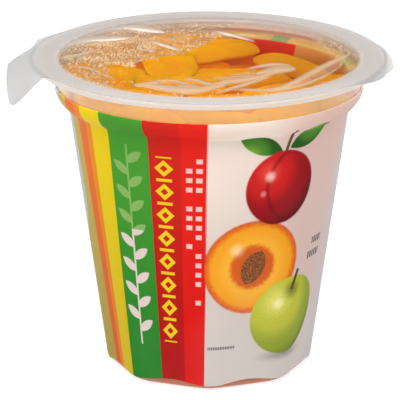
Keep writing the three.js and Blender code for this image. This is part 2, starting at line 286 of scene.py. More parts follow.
@dataclass(frozen=True)
class Body:
    """The outside of the cup's wall: round at the collar and cornered towards the base."""

    base_radius: float = 24.9
    lower_edge_round: float = 2.6
    shoulder_radius: float = 34.2
    shoulder_height: float = 67.1
    collar_radius: float = 37.6
    collar_foot: float = 71.7
    collar_top: float = 76.0
    wall_turn: float = 3.0
    turn_out: float = 0.75
    turn_up: float = 0.3
    roll_start_pull: float = 2.5
    roll_end_pull: float = 2.2
    corners: int = 8
    corner_round: float = 0.336
    corner_strength: float = 0.885
    wall: float = 0.8
    groove_inner: float = 12.5
    groove_outer: float = 18.5
    groove_depth: float = 0.6
    groove_slope: float = 1.0
    groove_lip: float = 0.4
    panel_rings: Range = (4.0, 8.0)
    edge_steps: int = 40
    wall_steps: int = 60
    roll_steps: int = 40
    short_steps: int = 12

    def meridian(self) -> np.ndarray:
        """Radius and height over a corner, from the base's edge to the collar's top.

        Returns:
            An array of points by two.
        """
        rise = self.shoulder_height - self.lower_edge_round
        lean = math.atan2(self.shoulder_radius - self.base_radius, rise)
        turn = np.linspace(-math.pi / 2, -lean, self.edge_steps)
        edge = self.lower_edge_round * np.column_stack([np.cos(turn), np.sin(turn)])
        edge += [self.base_radius - self.lower_edge_round, self.lower_edge_round]
        shoulder = np.array([self.shoulder_radius, self.shoulder_height])
        wall_end = shoulder - self.wall_turn * np.array([math.sin(lean), math.cos(lean)])
        way = np.array([self.turn_out, self.turn_up])
        collar_foot = np.array([self.collar_radius, self.collar_foot])
        roll = [
            shoulder + way,
            shoulder + self.roll_start_pull * way,
            collar_foot - [0, self.roll_end_pull],
            collar_foot,
        ]
        return np.vstack(
            [
                edge,
                bezier([edge[-1], wall_end], self.wall_steps)[1:],
                bezier([wall_end, shoulder, shoulder + way], self.short_steps)[1:],
                bezier(roll, self.roll_steps)[1:],
                bezier([collar_foot, [self.collar_radius, self.collar_top]], self.short_steps)[1:],
            ]
        )

    def cornered(self, angles: np.ndarray) -> np.ndarray:
        """Radius of the cornered section, as a share of its radius over the corners.

        Args:
            angles: angles round the axis, in radians.

        Returns:
            The share at each angle.
        """
        half = math.pi / self.corners
        off = np.abs((angles + half) % (2 * half) - half)
        centre = 1 - self.corner_round
        arc_end = math.atan2(
            self.corner_round * math.sin(half), centre + self.corner_round * math.cos(half)
        )
        flat = (centre * math.cos(half) + self.corner_round) / np.cos(half - off)
        across = np.minimum(centre * np.sin(off), self.corner_round)
        curved = centre * np.cos(off) + np.sqrt(self.corner_round**2 - across**2)
        return np.where(off > arc_end, flat, curved)

    def narrowed(self, angles: np.ndarray, heights: np.ndarray) -> np.ndarray:
        """The wall's radius at some places, as a share of its radius over a corner.

        Args:
            angles: angles round the axis, in radians.
            heights: heights in millimetres, one for each angle or rows of them.

        Returns:
            The share at each place.
        """
        drop = (self.shoulder_height - heights) / (self.shoulder_height - self.lower_edge_round)
        strength = self.corner_strength * np.clip(drop, 0, 1)
        return 1 + strength * (self.cornered(angles) - 1)

    def surface(self, angles: np.ndarray, shares: np.ndarray, offset: float) -> np.ndarray:
        """Points of the wall, moved outwards by an offset.

        Args:
            angles: angles round the axis, in radians, one for each column.
            shares: places along the meridian, from 0 to 1, one for each row or for each point.
            offset: how far the points are moved, in millimetres.

        Returns:
            An array of rows by columns by three.
        """
        line = self.meridian()
        lengths = line_shares(line)
        along = np.gradient(line, lengths, axis=0)
        along /= np.hypot(*along.T)[:, None]
        shares = shares[:, None] if shares.ndim == 1 else shares
        shares = np.broadcast_to(shares, (shares.shape[0], len(angles)))
        radius, height, way_out, way_up = (
            np.interp(shares, lengths, part) for part in (*line.T, *along.T)
        )
        reach = radius * self.narrowed(angles, height) + offset * way_up
        level = height - offset * way_out
        return np.stack([np.sin(angles) * reach, -np.cos(angles) * reach, level], axis=-1)

    def share_at(self, heights: np.ndarray) -> np.ndarray:
        """Places along the meridian at given heights.

        Args:
            heights: heights in millimetres.

        Returns:
            The places, from 0 at the base's edge to 1 at the collar's top.
        """
        line = self.meridian()
        return np.interp(heights, line[:, 1], line_shares(line))

    def inner_reach(self, angles: np.ndarray, heights: np.ndarray, gap: float) -> np.ndarray:
        """How far from the axis something inside may reach.

        Args:
            angles: angles round the axis, in radians.
            heights: a height for each angle.
            gap: the distance to keep to the wall's inner face.

        Returns:
            The largest radius at each point.
        """
        line = self.meridian()
        radius = np.interp(heights, line[:, 1], line[:, 0])
        return radius * self.narrowed(angles, heights) - self.wall - gap

    def base_panel(self, height: float) -> list[tuple[float, float]]:
        """The base's profile, with its stiffening ring.

        Args:
            height: how high the profile lies.

        Returns:
            Radius and height of its points, from its middle to its edge.
        """
        raised = height + self.groove_depth
        inner, outer = self.groove_inner, self.groove_outer
        middle = [(r, height) for r in (*self.panel_rings, inner - self.groove_lip, inner)]
        ring = [(inner + self.groove_slope, raised), (outer - self.groove_slope, raised)]
        return [*middle, *ring, (outer, height), (outer + self.groove_lip, height)]


def bezier(controls: Sequence[Sequence[float]], steps: int) -> np.ndarray:
    """Points of a Bezier curve.

    Args:
        controls: its control points.
        steps: how many steps to take along it.

    Returns:
        An array of steps + 1 points.
    """
    degree = len(controls) - 1
    t = np.linspace(0, 1, steps + 1)[:, None]
    return sum(
        math.comb(degree, i) * t**i * (1 - t) ** (degree - i) * np.asarray(point, float)
        for i, point in enumerate(controls)
    )


def line_shares(line: np.ndarray) -> np.ndarray:
    """How far along a line each of its points lies.

    Args:
        line: its points, one a row.

    Returns:
        The distance to each, as a share of the line's length.
    """
    lengths = np.concatenate([[0], np.cumsum(np.hypot(*np.diff(line, axis=0).T))])
    return lengths / lengths[-1]


def even_angles(count: int) -> np.ndarray:
    """Angles in radians that divide a full turn evenly."""
    return np.arange(count) * 2 * math.pi / count


def round_rings(profile: Iterable[Sequence[float]], angles: np.ndarray) -> np.ndarray:
    """Round rings through a profile.

    Args:
        profile: radius and height of each ring.
        angles: where each ring has points, in radians.

    Returns:
        An array of rings by points by three.
    """
    line = np.array(list(profile), float)
    radius, height = line[:, :1], line[:, 1:]
    rings = [radius * np.sin(angles), -radius * np.cos(angles), height + 0 * angles]
    return np.stack(rings, axis=-1)


def arc(centre: Sequence[float], radius: float, start: float, end: float, steps: int) -> list:
    """Radius and height along an arc.

    Args:
        centre: the arc's centre.
        radius: its radius.
        start, end: its ends, in degrees from outwards to upwards.
        steps: how many steps to take.

    Returns:
        A list of steps + 1 points.
    """
    turns = np.radians(np.linspace(start, end, steps + 1))
    return [(centre[0] + radius * math.cos(t), centre[1] + radius * math.sin(t)) for t in turns]


# ---------------------------------------------------------------------------------------------
# Finishes
# ---------------------------------------------------------------------------------------------

# The share of light that clear plastic mirrors face on, and how fast that rises at its edges.
MIRRORED_FACE_ON = 0.04
MIRRORED_RISE = 5.0


class Shader:
    """A material's node tree, with short ways to add nodes and join them."""

    def __init__(self, name: str) -> None:
        """Starts an empty material.

        Args:
            name: the material's name.
        """
        self.material = bpy.data.materials.new(name)
        self.material.use_nodes = True
        self.tree = self.material.node_tree
        self.tree.nodes.clear()
        self.output = self.tree.nodes.new("ShaderNodeOutputMaterial")

    def add(self, kind: str, inputs: dict | None = None, **settings: object) -> bpy.types.Node:
        """Adds a node.

        Args:
            kind: the node's type, without the ShaderNode that it starts with.
            inputs: a value or a socket for each named or numbered input.
            settings: the node's own settings.

        Returns:
            The new node.
        """
        node = self.tree.nodes.new("ShaderNode" + kind)
        for name, value in settings.items():
            setattr(node, name, value)
        for name, value in (inputs or {}).items():
            self.feed(node.inputs[name], value)
        return node

    def feed(self, socket: Socket, value: object) -> None:
        """Joins a socket to an input, or sets the input to a plain value.

        Args:
            socket: the input.
            value: the socket or the value.
        """
        if isinstance(value, Socket):
            self.tree.links.new(value, socket)
        else:
            socket.default_value = value

    def math(self, operation: str, *values: object) -> Socket:
        """The result of a math node on some numbers or sockets."""
        return self.add("Math", dict(enumerate(values)), operation=operation).outputs[0]

    def times(self, first: object, second: object) -> Socket:
        """The product of two numbers or sockets."""
        return self.math("MULTIPLY", first, second)

    def most(self, first: object, second: object) -> Socket:
        """The larger of two numbers or sockets."""
        return self.math("MAXIMUM", first, second)

    def ease(self, value: object, low: float, high: float) -> Socket:
        """A smooth rise from 0 to 1 as a value goes from low to high, or a fall if low is more.

        Args:
            value: the socket to read.
            low: where the result is 0.
            high: where it is 1.

        Returns:
            The result's socket.
        """
        start, end = (low, high) if low < high else (high, low)
        ends = (0.0, 1.0) if low < high else (1.0, 0.0)
        inputs = {"Value": value, "From Min": start, "From Max": end}
        inputs |= {"To Min": ends[0], "To Max": ends[1]}
        return self.add("MapRange", inputs, interpolation_type="SMOOTHSTEP").outputs[0]

    def mix(self, share: object, first: object, second: object) -> Socket:
        """A mix of two colours.

        Args:
            share: how much of the second there is.
            first, second: the colours.

        Returns:
            The mixed colour's socket.
        """
        node = self.add("Mix", data_type="RGBA")
        for name, value in (("Factor", share), ("A", first), ("B", second)):
            inputs = [s for s in node.inputs if s.name == name and s.enabled]
            self.feed(inputs[0], value)
        return next(s for s in node.outputs if s.enabled)

    def ramp(self, value: object, stops: Sequence[tuple[float, Colour]], hard: bool = False) -> Socket:
        """A colour that follows a value.

        Args:
            value: the socket to read.
            stops: positions from 0 to 1, each with its colour.
            hard: whether each colour keeps on to the next stop.

        Returns:
            The colour's socket.
        """
        node = self.add("ValToRGB", {"Fac": value})
        node.color_ramp.interpolation = "CONSTANT" if hard else "EASE"
        elements = node.color_ramp.elements
        while len(elements) < len(stops):
            elements.new(0.5)
        for element, (position, colour) in zip(elements, stops):
            element.position = position
            element.color = colour
        return node.outputs["Color"]

    def noise(
        self, scale: float, detail: float = 2.0, roughness: float = 0.5, where: Socket | None = None
    ) -> Socket:
        """Smooth noise.

        Args:
            scale: how many lumps there are to a unit, which is a metre in the row frame.
            detail: how many finer layers it has.
            roughness: how strong those are.
            where: the coordinates it is read at, if other than the place in the row frame.

        Returns:
            The noise's socket, around 0.5.
        """
        inputs = {"Scale": scale, "Detail": detail, "Roughness": roughness}
        return self.add("TexNoise", inputs | {"Vector": where or self.place()}).outputs["Fac"]

    def place(self) -> Socket:
        """The point's place in the row frame, in metres."""
        return self.add("TexCoord").outputs["Object"]

    def axes(self, where: Socket | None = None) -> Iterable[Socket]:
        """The X, Y and Z of some coordinates, or else of the point's place."""
        return self.add("SeparateXYZ", {0: where or self.place()}).outputs

    def attribute(self, name: str) -> Socket:
        """A value that the mesh holds at its points."""
        return self.add("Attribute", attribute_name=name).outputs["Fac"]

    def bump(self, height: Socket, distance: float, strength: float = 1.0) -> Socket:
        """A normal bent by a height.

        Args:
            height: the height's socket.
            distance: how deep a height of 1 is, in metres.
            strength: how much of it shows.

        Returns:
            The normal's socket.
        """
        inputs = {"Height": height, "Distance": distance, "Strength": strength}
        return self.add("Bump", inputs).outputs[0]

    def glint(self, normal: Socket | None = None) -> Socket:
        """The share of light that thin clear plastic mirrors, all of it on its outer faces.

        Args:
            normal: a bent normal, if it has one.

        Returns:
            The share's socket.
        """
        inputs = {"Blend": 0.5} | ({"Normal": normal} if normal else {})
        grazing = self.add("LayerWeight", inputs).outputs["Facing"]
        rise = self.math("POWER", grazing, MIRRORED_RISE)
        share = self.math("MULTIPLY_ADD", rise, 1 - MIRRORED_FACE_ON, MIRRORED_FACE_ON)
        outwards = self.math("SUBTRACT", 1.0, self.add("NewGeometry").outputs["Backfacing"])
        return self.times(share, outwards)

    def clear(self, tint: object) -> Socket:
        """A clear surface that tints what is behind it."""
        return self.add("BsdfTransparent", {"Color": tint}).outputs[0]

    def blend(self, share: object, first: Socket, second: Socket) -> Socket:
        """A mix of two shaders, with a share of the second."""
        return self.add("MixShader", {0: share, 1: first, 2: second}).outputs[0]

    def milky(self, colour: object, through: float) -> Socket:
        """A matt surface that light comes through.

        Args:
            colour: its colour.
            through: the share that comes through.

        Returns:
            The shader's socket.
        """
        near = self.add("BsdfDiffuse", {"Color": colour}).outputs[0]
        far = self.add("BsdfTranslucent", {"Color": colour}).outputs[0]
        return self.blend(through, near, far)

    def glazed(
        self, surface: Socket, mirrored: Socket, roughness: object, normal: Socket | None = None
    ) -> Socket:
        """A surface with reflections on it.

        Args:
            surface: the shader below them.
            mirrored: the share of light that is mirrored.
            roughness: how blurred the reflections are.
            normal: a bent normal, if it has one.

        Returns:
            The shader's socket.
        """
        inputs = {"Roughness": roughness} | ({"Normal": normal} if normal else {})
        return self.blend(mirrored, surface, self.add("BsdfGlossy", inputs).outputs[0])

    def done(self, surface: Socket, volume: Socket | None = None) -> bpy.types.Material:
        """Finishes the material.

        Args:
            surface: its surface shader.
            volume: its volume shader, if it has one.

        Returns:
            The material.
        """
        self.feed(self.output.inputs["Surface"], surface)
        if volume is not None:
            self.feed(self.output.inputs["Volume"], volume)
        return self.material


# ---------------------------------------------------------------------------------------------
# The moulded cup
# ---------------------------------------------------------------------------------------------

BODY_FORM = Body()


def box_top(node: str) -> float:
    """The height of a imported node's highest point, in millimetres."""
    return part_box(node)[1].z / MM


def box_reach(node: str) -> float:
    """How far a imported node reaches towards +Y, in millimetres."""
    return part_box(node)[1].y / MM


@dataclass(frozen=True)
class ClearPlastic:
    """Thin clear moulded plastic, frosted from its flange up, with a coat over its foot in the colour of
    the syrup and fruit behind it, darkened as painted shade.
    """

    tint: Colour = srgb(245, 242, 235)
    frost: Colour = srgb(200, 192, 187)
    frost_foot: float = 75.8
    frost_full: float = 76.6
    frost_cover: float = 0.8
    haze: float = 0.03
    collar_foot: float = 71.0
    collar_haze: float = 0.12
    edge_haze: float = 0.8
    collar_tint: Colour = srgb(237, 239, 228)
    back_tint: Colour = srgb(242, 222, 212)
    back_from: float = 5.0
    back_full: float = 25.0
    # Painted shade: the foot is coated in the peach-brown of the syrup and fruit in shade behind its
    # rounded edge.
    foot_fruit_in_shade: Colour = srgb(204, 126, 76)
    foot_full: float = 1.2
    foot_top: float = 2.8
    foot_cover: float = 0.74
    through: float = 0.45
    gloss: float = 0.09
    mould_lines: float = 260.0
    mould_depth: float = 0.06
    mould_strength: float = 0.5

    def material(self) -> bpy.types.Material:
        """Makes the material.

        Returns:
            The finished material.
        """
        s = Shader("clear_moulded_plastic")
        _, back, height = s.axes()
        frosted = s.ease(height, self.frost_foot * MM, self.frost_full * MM)
        collar = s.ease(height, (self.collar_foot - 1) * MM, self.collar_foot * MM)
        behind = s.ease(back, self.back_from * MM, self.back_full * MM)
        foot = s.ease(height, self.foot_top * MM, self.foot_full * MM)
        tint = s.mix(collar, self.tint, s.mix(behind, self.collar_tint, self.back_tint))
        milky = s.milky(s.mix(foot, self.frost, self.foot_fruit_in_shade), self.through)
        grazing = s.math("POWER", s.add("LayerWeight", {"Blend": 0.5}).outputs["Facing"], 2.0)
        misty = s.math("MULTIPLY_ADD", grazing, self.edge_haze, self.collar_haze - self.haze)
        hazy = s.math("MULTIPLY_ADD", collar, misty, self.haze)
        cover = s.most(hazy, s.times(frosted, self.frost_cover))
        cover = s.most(cover, s.times(foot, self.foot_cover))
        veiled = s.blend(cover, s.clear(tint), milky)
        flow = s.noise(self.mould_lines, detail=3.0)
        normal = s.bump(flow, self.mould_depth * MM, self.mould_strength)
        return s.done(s.glazed(veiled, s.glint(normal), self.gloss, normal))


@dataclass(frozen=True)
class CupShell:
    """The cup: a base with a stiffening ring, the body and collar, and the sealing flange."""

    form: Body = BODY_FORM
    height: float = field(default_factory=lambda: box_top("cup"))
    flange_radius: float = field(default_factory=lambda: box_reach("cup"))
    flange_thickness: float = 0.6
    lip_depth: float = 1.35
    lip_wall: float = 0.7
    edge_round: float = 0.35
    mouth_round: float = 0.6
    land_insets: Range = (1.0, 0.5)
    land_rings: int = 5
    around: int = 288
    wall_rows: int = 96

    def flange(self) -> list[tuple[float, float]]:
        """The flange's profile, from the collar's top over the lip to the mouth.

        Returns:
            Radius and height of its points.
        """
        form, top = self.form, self.height
        underside = top - self.flange_thickness
        fillet = underside - form.collar_top
        inside = self.flange_radius - self.lip_wall
        foot = top - self.lip_depth
        half = self.lip_wall / 2
        mouth = form.collar_radius - form.wall + self.mouth_round
        edge = (self.flange_radius - self.edge_round, top - self.edge_round)
        outer, inner = self.land_insets
        land = np.linspace(self.flange_radius - outer, mouth + inner, self.land_rings)
        return [
            *arc((form.collar_radius + fillet, form.collar_top), fillet, 180, 90, steps=6)[1:],
            (inside - half, underside),
            *arc((inside - half, underside - half), half, 90, 0, steps=4),
            *arc((inside + half, foot + half), half, 180, 360, steps=8),
            *arc(edge, self.edge_round, 0, 90, steps=5),
            *[(radius, top) for radius in land],
            *arc((mouth, top - self.mouth_round), self.mouth_round, 90, 180, steps=6),
        ]

    def build(self) -> bpy.types.Object:
        """Makes the cup's mesh.

        Returns:
            The cup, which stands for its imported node.
        """
        angles = even_angles(self.around)
        shares = np.linspace(0, 1, self.wall_rows)
        rings = [
            round_rings(self.form.base_panel(0), angles),
            self.form.surface(angles, shares, 0),
            round_rings(self.flange(), angles),
            self.form.surface(angles, shares[::-1], -self.form.wall),
            round_rings(self.form.base_panel(self.form.wall)[::-1], angles),
        ]
        cup = skin("cup_shell", np.vstack(rings), Ends.CAPPED)
        finish = ClearPlastic().material()
        return lets_lamps_through(settle(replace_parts(cup, "cup"), "clear_cup", finish))


# ---------------------------------------------------------------------------------------------
# The printed sleeve
# ---------------------------------------------------------------------------------------------

# The radius at which the print's millimetres across are true.
REEL_RADIUS = 31.0

# How fast a printed fruit darkens away from where the light strikes it.
FRUIT_SHADING = 0.62


@dataclass(frozen=True)
class Band:
    """One upright field of the sleeve's print, up to the angle where it ends."""

    name: str
    ends_at: float
    top: Colour
    foot: Colour


# Each band's foot colour is darker than its top: painted shade towards the base.
BANDS = (
    Band("back panel", -158.0, srgb(238, 214, 200), srgb(206, 196, 190)),
    Band("pale blue", -77.5, srgb(206, 212, 214), srgb(176, 190, 196)),
    Band("olive", -69.8, srgb(208, 186, 84), srgb(186, 164, 60)),
    Band("orange red", -63.2, srgb(236, 124, 34), srgb(222, 100, 16)),
    Band("orange", -57.8, srgb(238, 158, 20), srgb(230, 138, 10)),
    Band("yellow", -47.8, srgb(240, 220, 20), srgb(220, 198, 18)),
    Band("green", -27.6, srgb(84, 172, 56), srgb(37, 143, 40)),
    Band("dark line", -26.9, srgb(70, 44, 16), srgb(54, 30, 10)),
    Band("dark red", -13.4, srgb(222, 38, 26), srgb(190, 4, 4)),
    Band("bright red", -2.0, srgb(236, 38, 24), srgb(226, 12, 8)),
    Band("front panel", 92.0, srgb(232, 221, 210), srgb(221, 215, 211)),
    Band("cream", 98.0, srgb(255, 236, 180), srgb(226, 204, 150)),
    Band("peach", 139.0, srgb(255, 212, 144), srgb(240, 176, 98)),
    Band("back red", 168.0, srgb(255, 66, 10), srgb(200, 30, 24)),
    Band("back panel", 180.0, srgb(238, 214, 200), srgb(206, 196, 190)),
)


@dataclass(frozen=True)
class Spot:
    """Where a printed shape stands on the sleeve, and how large it is.

    The angle and the turn are in degrees. The height and the two half sizes are in millimetres.
    """

    angle: float
    height: float
    wide: float
    tall: float
    turn: float = 0.0

    def moved(self, across: float, up: float, size: float) -> "Spot":
        """A spot beside this one, a share of its size."""
        angle = self.angle + math.degrees(across / REEL_RADIUS)
        return Spot(angle, self.height + up, self.wide * size, self.tall * size, self.turn)


class SleeveShader(Shader):
    """A shader that paints shapes on the unrolled sleeve, one over the other."""

    def __init__(self, name: str, lean: float, middle: float) -> None:
        """Starts the sleeve's material.

        Args:
            name: the material's name.
            lean: how far upright lines lean, in degrees to a millimetre of height.
            middle: the height where they are true.
        """
        super().__init__(name)
        x, y, z = self.axes()
        turn = self.math("ARCTAN2", x, self.times(y, -1.0))
        self.height = self.times(z, 1 / MM)
        lift = self.math("MULTIPLY_ADD", self.height, -lean, lean * middle)
        self.degrees = self.math("MULTIPLY_ADD", turn, math.degrees(1), lift)
        self.across = self.times(self.degrees, math.radians(REEL_RADIUS))
        self.flat = self.add("CombineXYZ", {"X": self.across, "Y": self.height}).outputs[0]
        self.colour: object = WHITE

    def at(self, spot: Spot, flat: Socket | None = None) -> Socket:
        """Coordinates in which a spot's shape reaches from -1 to 1.

        Args:
            spot: the spot.
            flat: coordinates in millimetres, if other than the sleeve's own.

        Returns:
            The coordinates' socket.
        """
        inputs = {
            "Vector": flat or self.flat,
            "Location": (math.radians(spot.angle) * REEL_RADIUS, spot.height, 0.0),
            "Rotation": (0.0, 0.0, math.radians(spot.turn)),
            "Scale": (spot.wide, spot.tall, 1.0),
        }
        return self.add("Mapping", inputs, vector_type="TEXTURE").outputs[0]

    def reach(self, where: Socket, away: tuple[float, float] = (0.0, 0.0)) -> Socket:
        """Distance from a point in a shape's coordinates."""
        inputs = {0: where, 1: (*away, 0.0)}
        return self.add("VectorMath", inputs, operation="DISTANCE").outputs["Value"]

    def disc(self, spot: Spot, soft: float = 0.05) -> Socket:
        """A mask of a disc, which fades out over its softness."""
        return self.ease(self.reach(self.at(spot)), 1.0, 1.0 - soft)

    def leaf(self, where: Socket, slim: float = 0.42, soft: float = 0.04) -> Socket:
        """A mask of a leaf that points along the shape's first axis.

        Args:
            where: the leaf's coordinates.
            slim: its half width, as a share of its half length.
            soft: how far in from its sides it is full, as another such share.

        Returns:
            The mask's socket.
        """
        radius = (1 + slim * slim) / (2 * slim)
        sides = [self.reach(where, (0.0, side * (radius - slim))) for side in (-1, 1)]
        return self.ease(self.most(*sides), radius, radius - soft)

    def bar(self, where: Socket, soft: float = 0.08) -> Socket:
        """A mask of a rectangle.

        Args:
            where: the rectangle's coordinates.
            soft: how far in from its sides it is full, as a share of its half size.

        Returns:
            The mask's socket.
        """
        sides = self.add("VectorMath", {0: where}, operation="ABSOLUTE").outputs[0]
        x, y, _ = self.axes(sides)
        return self.ease(self.most(x, y), 1.0, 1.0 - soft)

    def between(self, value: Socket, low: float, high: float) -> Socket:
        """A mask of the values from low to high."""
        over = self.math("GREATER_THAN", value, low)
        return self.times(over, self.math("LESS_THAN", value, high))

    def rows(self, angle: float, pitch: float, shift: float = 0.0) -> Socket:
        """Coordinates that repeat up the sleeve.

        Args:
            angle: the angle of the column.
            pitch: the height of one row.
            shift: how far the rows are moved up, as a share of the pitch.

        Returns:
            The coordinates in millimetres, from the middle of each row.
        """
        count = self.math("MULTIPLY_ADD", self.height, 1 / pitch, -shift)
        up = self.math("MULTIPLY_ADD", self.math("FRACT", count), pitch, -pitch / 2)
        across = self.math("ADD", self.across, -math.radians(angle) * REEL_RADIUS)
        return self.add("CombineXYZ", {"X": across, "Y": up}).outputs[0]

    def paint(self, mask: Socket, colour: object, cover: float = 1.0) -> None:
        """Lays a colour over what is painted so far.

        Args:
            mask: where it goes.
            colour: a colour, or the socket of one.
            cover: how much of what is below it hides.
        """
        share = mask if cover == 1.0 else self.times(mask, cover)
        self.colour = self.mix(share, self.colour, colour)

    def ball(self, spot: Spot, lit: tuple[float, float], stops: Sequence[tuple[float, Colour]]) -> None:
        """Paints a round fruit.

        Args:
            spot: where it is.
            lit: where the light strikes it, in the spot's coordinates.
            stops: its colours, from there to its shaded side.
        """
        away = self.reach(self.at(spot), lit)
        self.paint(self.disc(spot), self.ramp(self.times(away, FRUIT_SHADING), stops))


LEAF_STOPS = ((0.0, srgb(150, 196, 70)), (0.6, srgb(84, 152, 48)), (1.0, srgb(44, 104, 34)))
PLUM_STOPS = (
    (0.0, srgb(244, 84, 66)),
    (0.28, srgb(220, 34, 34)),
    (0.62, srgb(170, 14, 24)),
    (1.0, srgb(104, 6, 16)),
)
PEACH_STOPS = (
    (0.0, srgb(214, 96, 30)),
    (0.4, srgb(226, 108, 34)),
    (0.52, srgb(250, 196, 60)),
    (0.8, srgb(246, 180, 36)),
    (0.93, srgb(232, 120, 30)),
    (1.0, srgb(196, 40, 26)),
)
STONE_STOPS = ((0.3, srgb(92, 48, 26)), (0.5, srgb(150, 88, 46)), (0.7, srgb(190, 128, 74)))
APPLE_STOPS = (
    (0.0, srgb(240, 236, 120)),
    (0.35, srgb(206, 210, 60)),
    (0.7, srgb(160, 176, 36)),
    (1.0, srgb(104, 124, 22)),
)

PLUM = Spot(32.0, 53.0, 9.3, 9.9)
PLUM_LEAVES = tuple(
    replace(PLUM.moved(across, up, 1.0), wide=5.8, tall=5.8, turn=turn)
    for across, up, turn in ((6.3, 12.4, 24.0), (-5.9, 11.6, 158.0))
)
PLUM_STALK = Spot(33.4, 64.6, 0.42, 3.6, -14.0)
PLUM_FOLD = PLUM.moved(6.2, 0.6, 1.06)
PLUM_LIGHT = PLUM.moved(-3.2, 3.2, 0.2)
PLUM_GLOW = PLUM.moved(-4.6, -1.2, 0.12)
PEACH = Spot(21.5, 32.6, 13.4, 12.6)
PEACH_STONE = replace(PEACH.moved(0.2, -0.2, 0.36), turn=64.0)
PEACH_LIGHT = PEACH.moved(-4.6, 4.8, 0.2)
APPLE = Spot(45.0, 18.2, 12.4, 10.4)
APPLE_HOLLOW = APPLE.moved(0.5, 6.6, 0.34)
APPLE_LIGHT = APPLE.moved(-3.8, 3.4, 0.2)
APPLE_STALK = Spot(46.8, 27.4, 0.5, 2.8, -18.0)
APPLE_SHADOW = Spot(45.0, 7.8, 12.0, 2.0)

# Where the light strikes them, in the coordinates of their spots.
LEAF_LIT = (0.3, 0.5)
PLUM_LIT = (-0.38, 0.42)
APPLE_LIT = (-0.34, 0.4)

SMALL_ROWS = (
    Spot(62.5, 36.0, 2.6, 0.95),
    Spot(61.0, 32.4, 3.4, 0.95),
    Spot(7.5, 11.5, 4.2, 0.4),
)


@dataclass(frozen=True)
class Inks:
    """The colours of the sleeve's marks."""

    # Painted shade, laid over the shoulder.
    shade: Colour = srgb(60, 30, 24)
    cream: Colour = srgb(255, 234, 176)
    mint: Colour = srgb(184, 222, 178)
    # Painted highlight along the back's top edge.
    back_highlight: Colour = srgb(246, 208, 200)
    grey: Colour = srgb(120, 116, 116)
    small: Colour = srgb(84, 74, 70)
    pale_leaf: Colour = srgb(156, 200, 112)
    white_leaf: Colour = srgb(236, 222, 216)
    yellow: Colour = srgb(242, 222, 34)
    dash: Colour = srgb(244, 214, 208)
    plum_stalk: Colour = srgb(116, 92, 48)
    plum_crease: Colour = srgb(110, 8, 16)
    plum_light: Colour = srgb(255, 224, 214)
    plum_glow: Colour = srgb(255, 190, 180)
    peach_light: Colour = srgb(255, 240, 190)
    apple_shadow: Colour = srgb(120, 104, 100)
    apple_fleck: Colour = srgb(120, 132, 30)
    apple_hollow: Colour = srgb(112, 118, 24)
    apple_stalk: Colour = srgb(104, 70, 36)
    apple_light: Colour = srgb(255, 252, 214)


INK = Inks()


@dataclass(frozen=True)
class Wash:
    """A soft colour over part of the front panel, which comes in over angles and heights."""

    colour: Colour
    cover: float
    angles: Range
    heights: Range | None = None
    clouded: bool = False


WASHES = (
    Wash(srgb(252, 244, 236), 0.62, (66.0, 24.0), (30.0, 62.0)),
    Wash(srgb(250, 214, 186), 0.6, (20.0, 50.0), (30.0, 58.0), clouded=True),
    Wash(srgb(228, 196, 190), 0.56, (16.0, 44.0), (6.0, 32.0)),
    # Painted sheen: cool grey towards the far side, where the sleeve turns away.
    Wash(srgb(212, 212, 220), 0.6, (62.0, 84.0)),
)


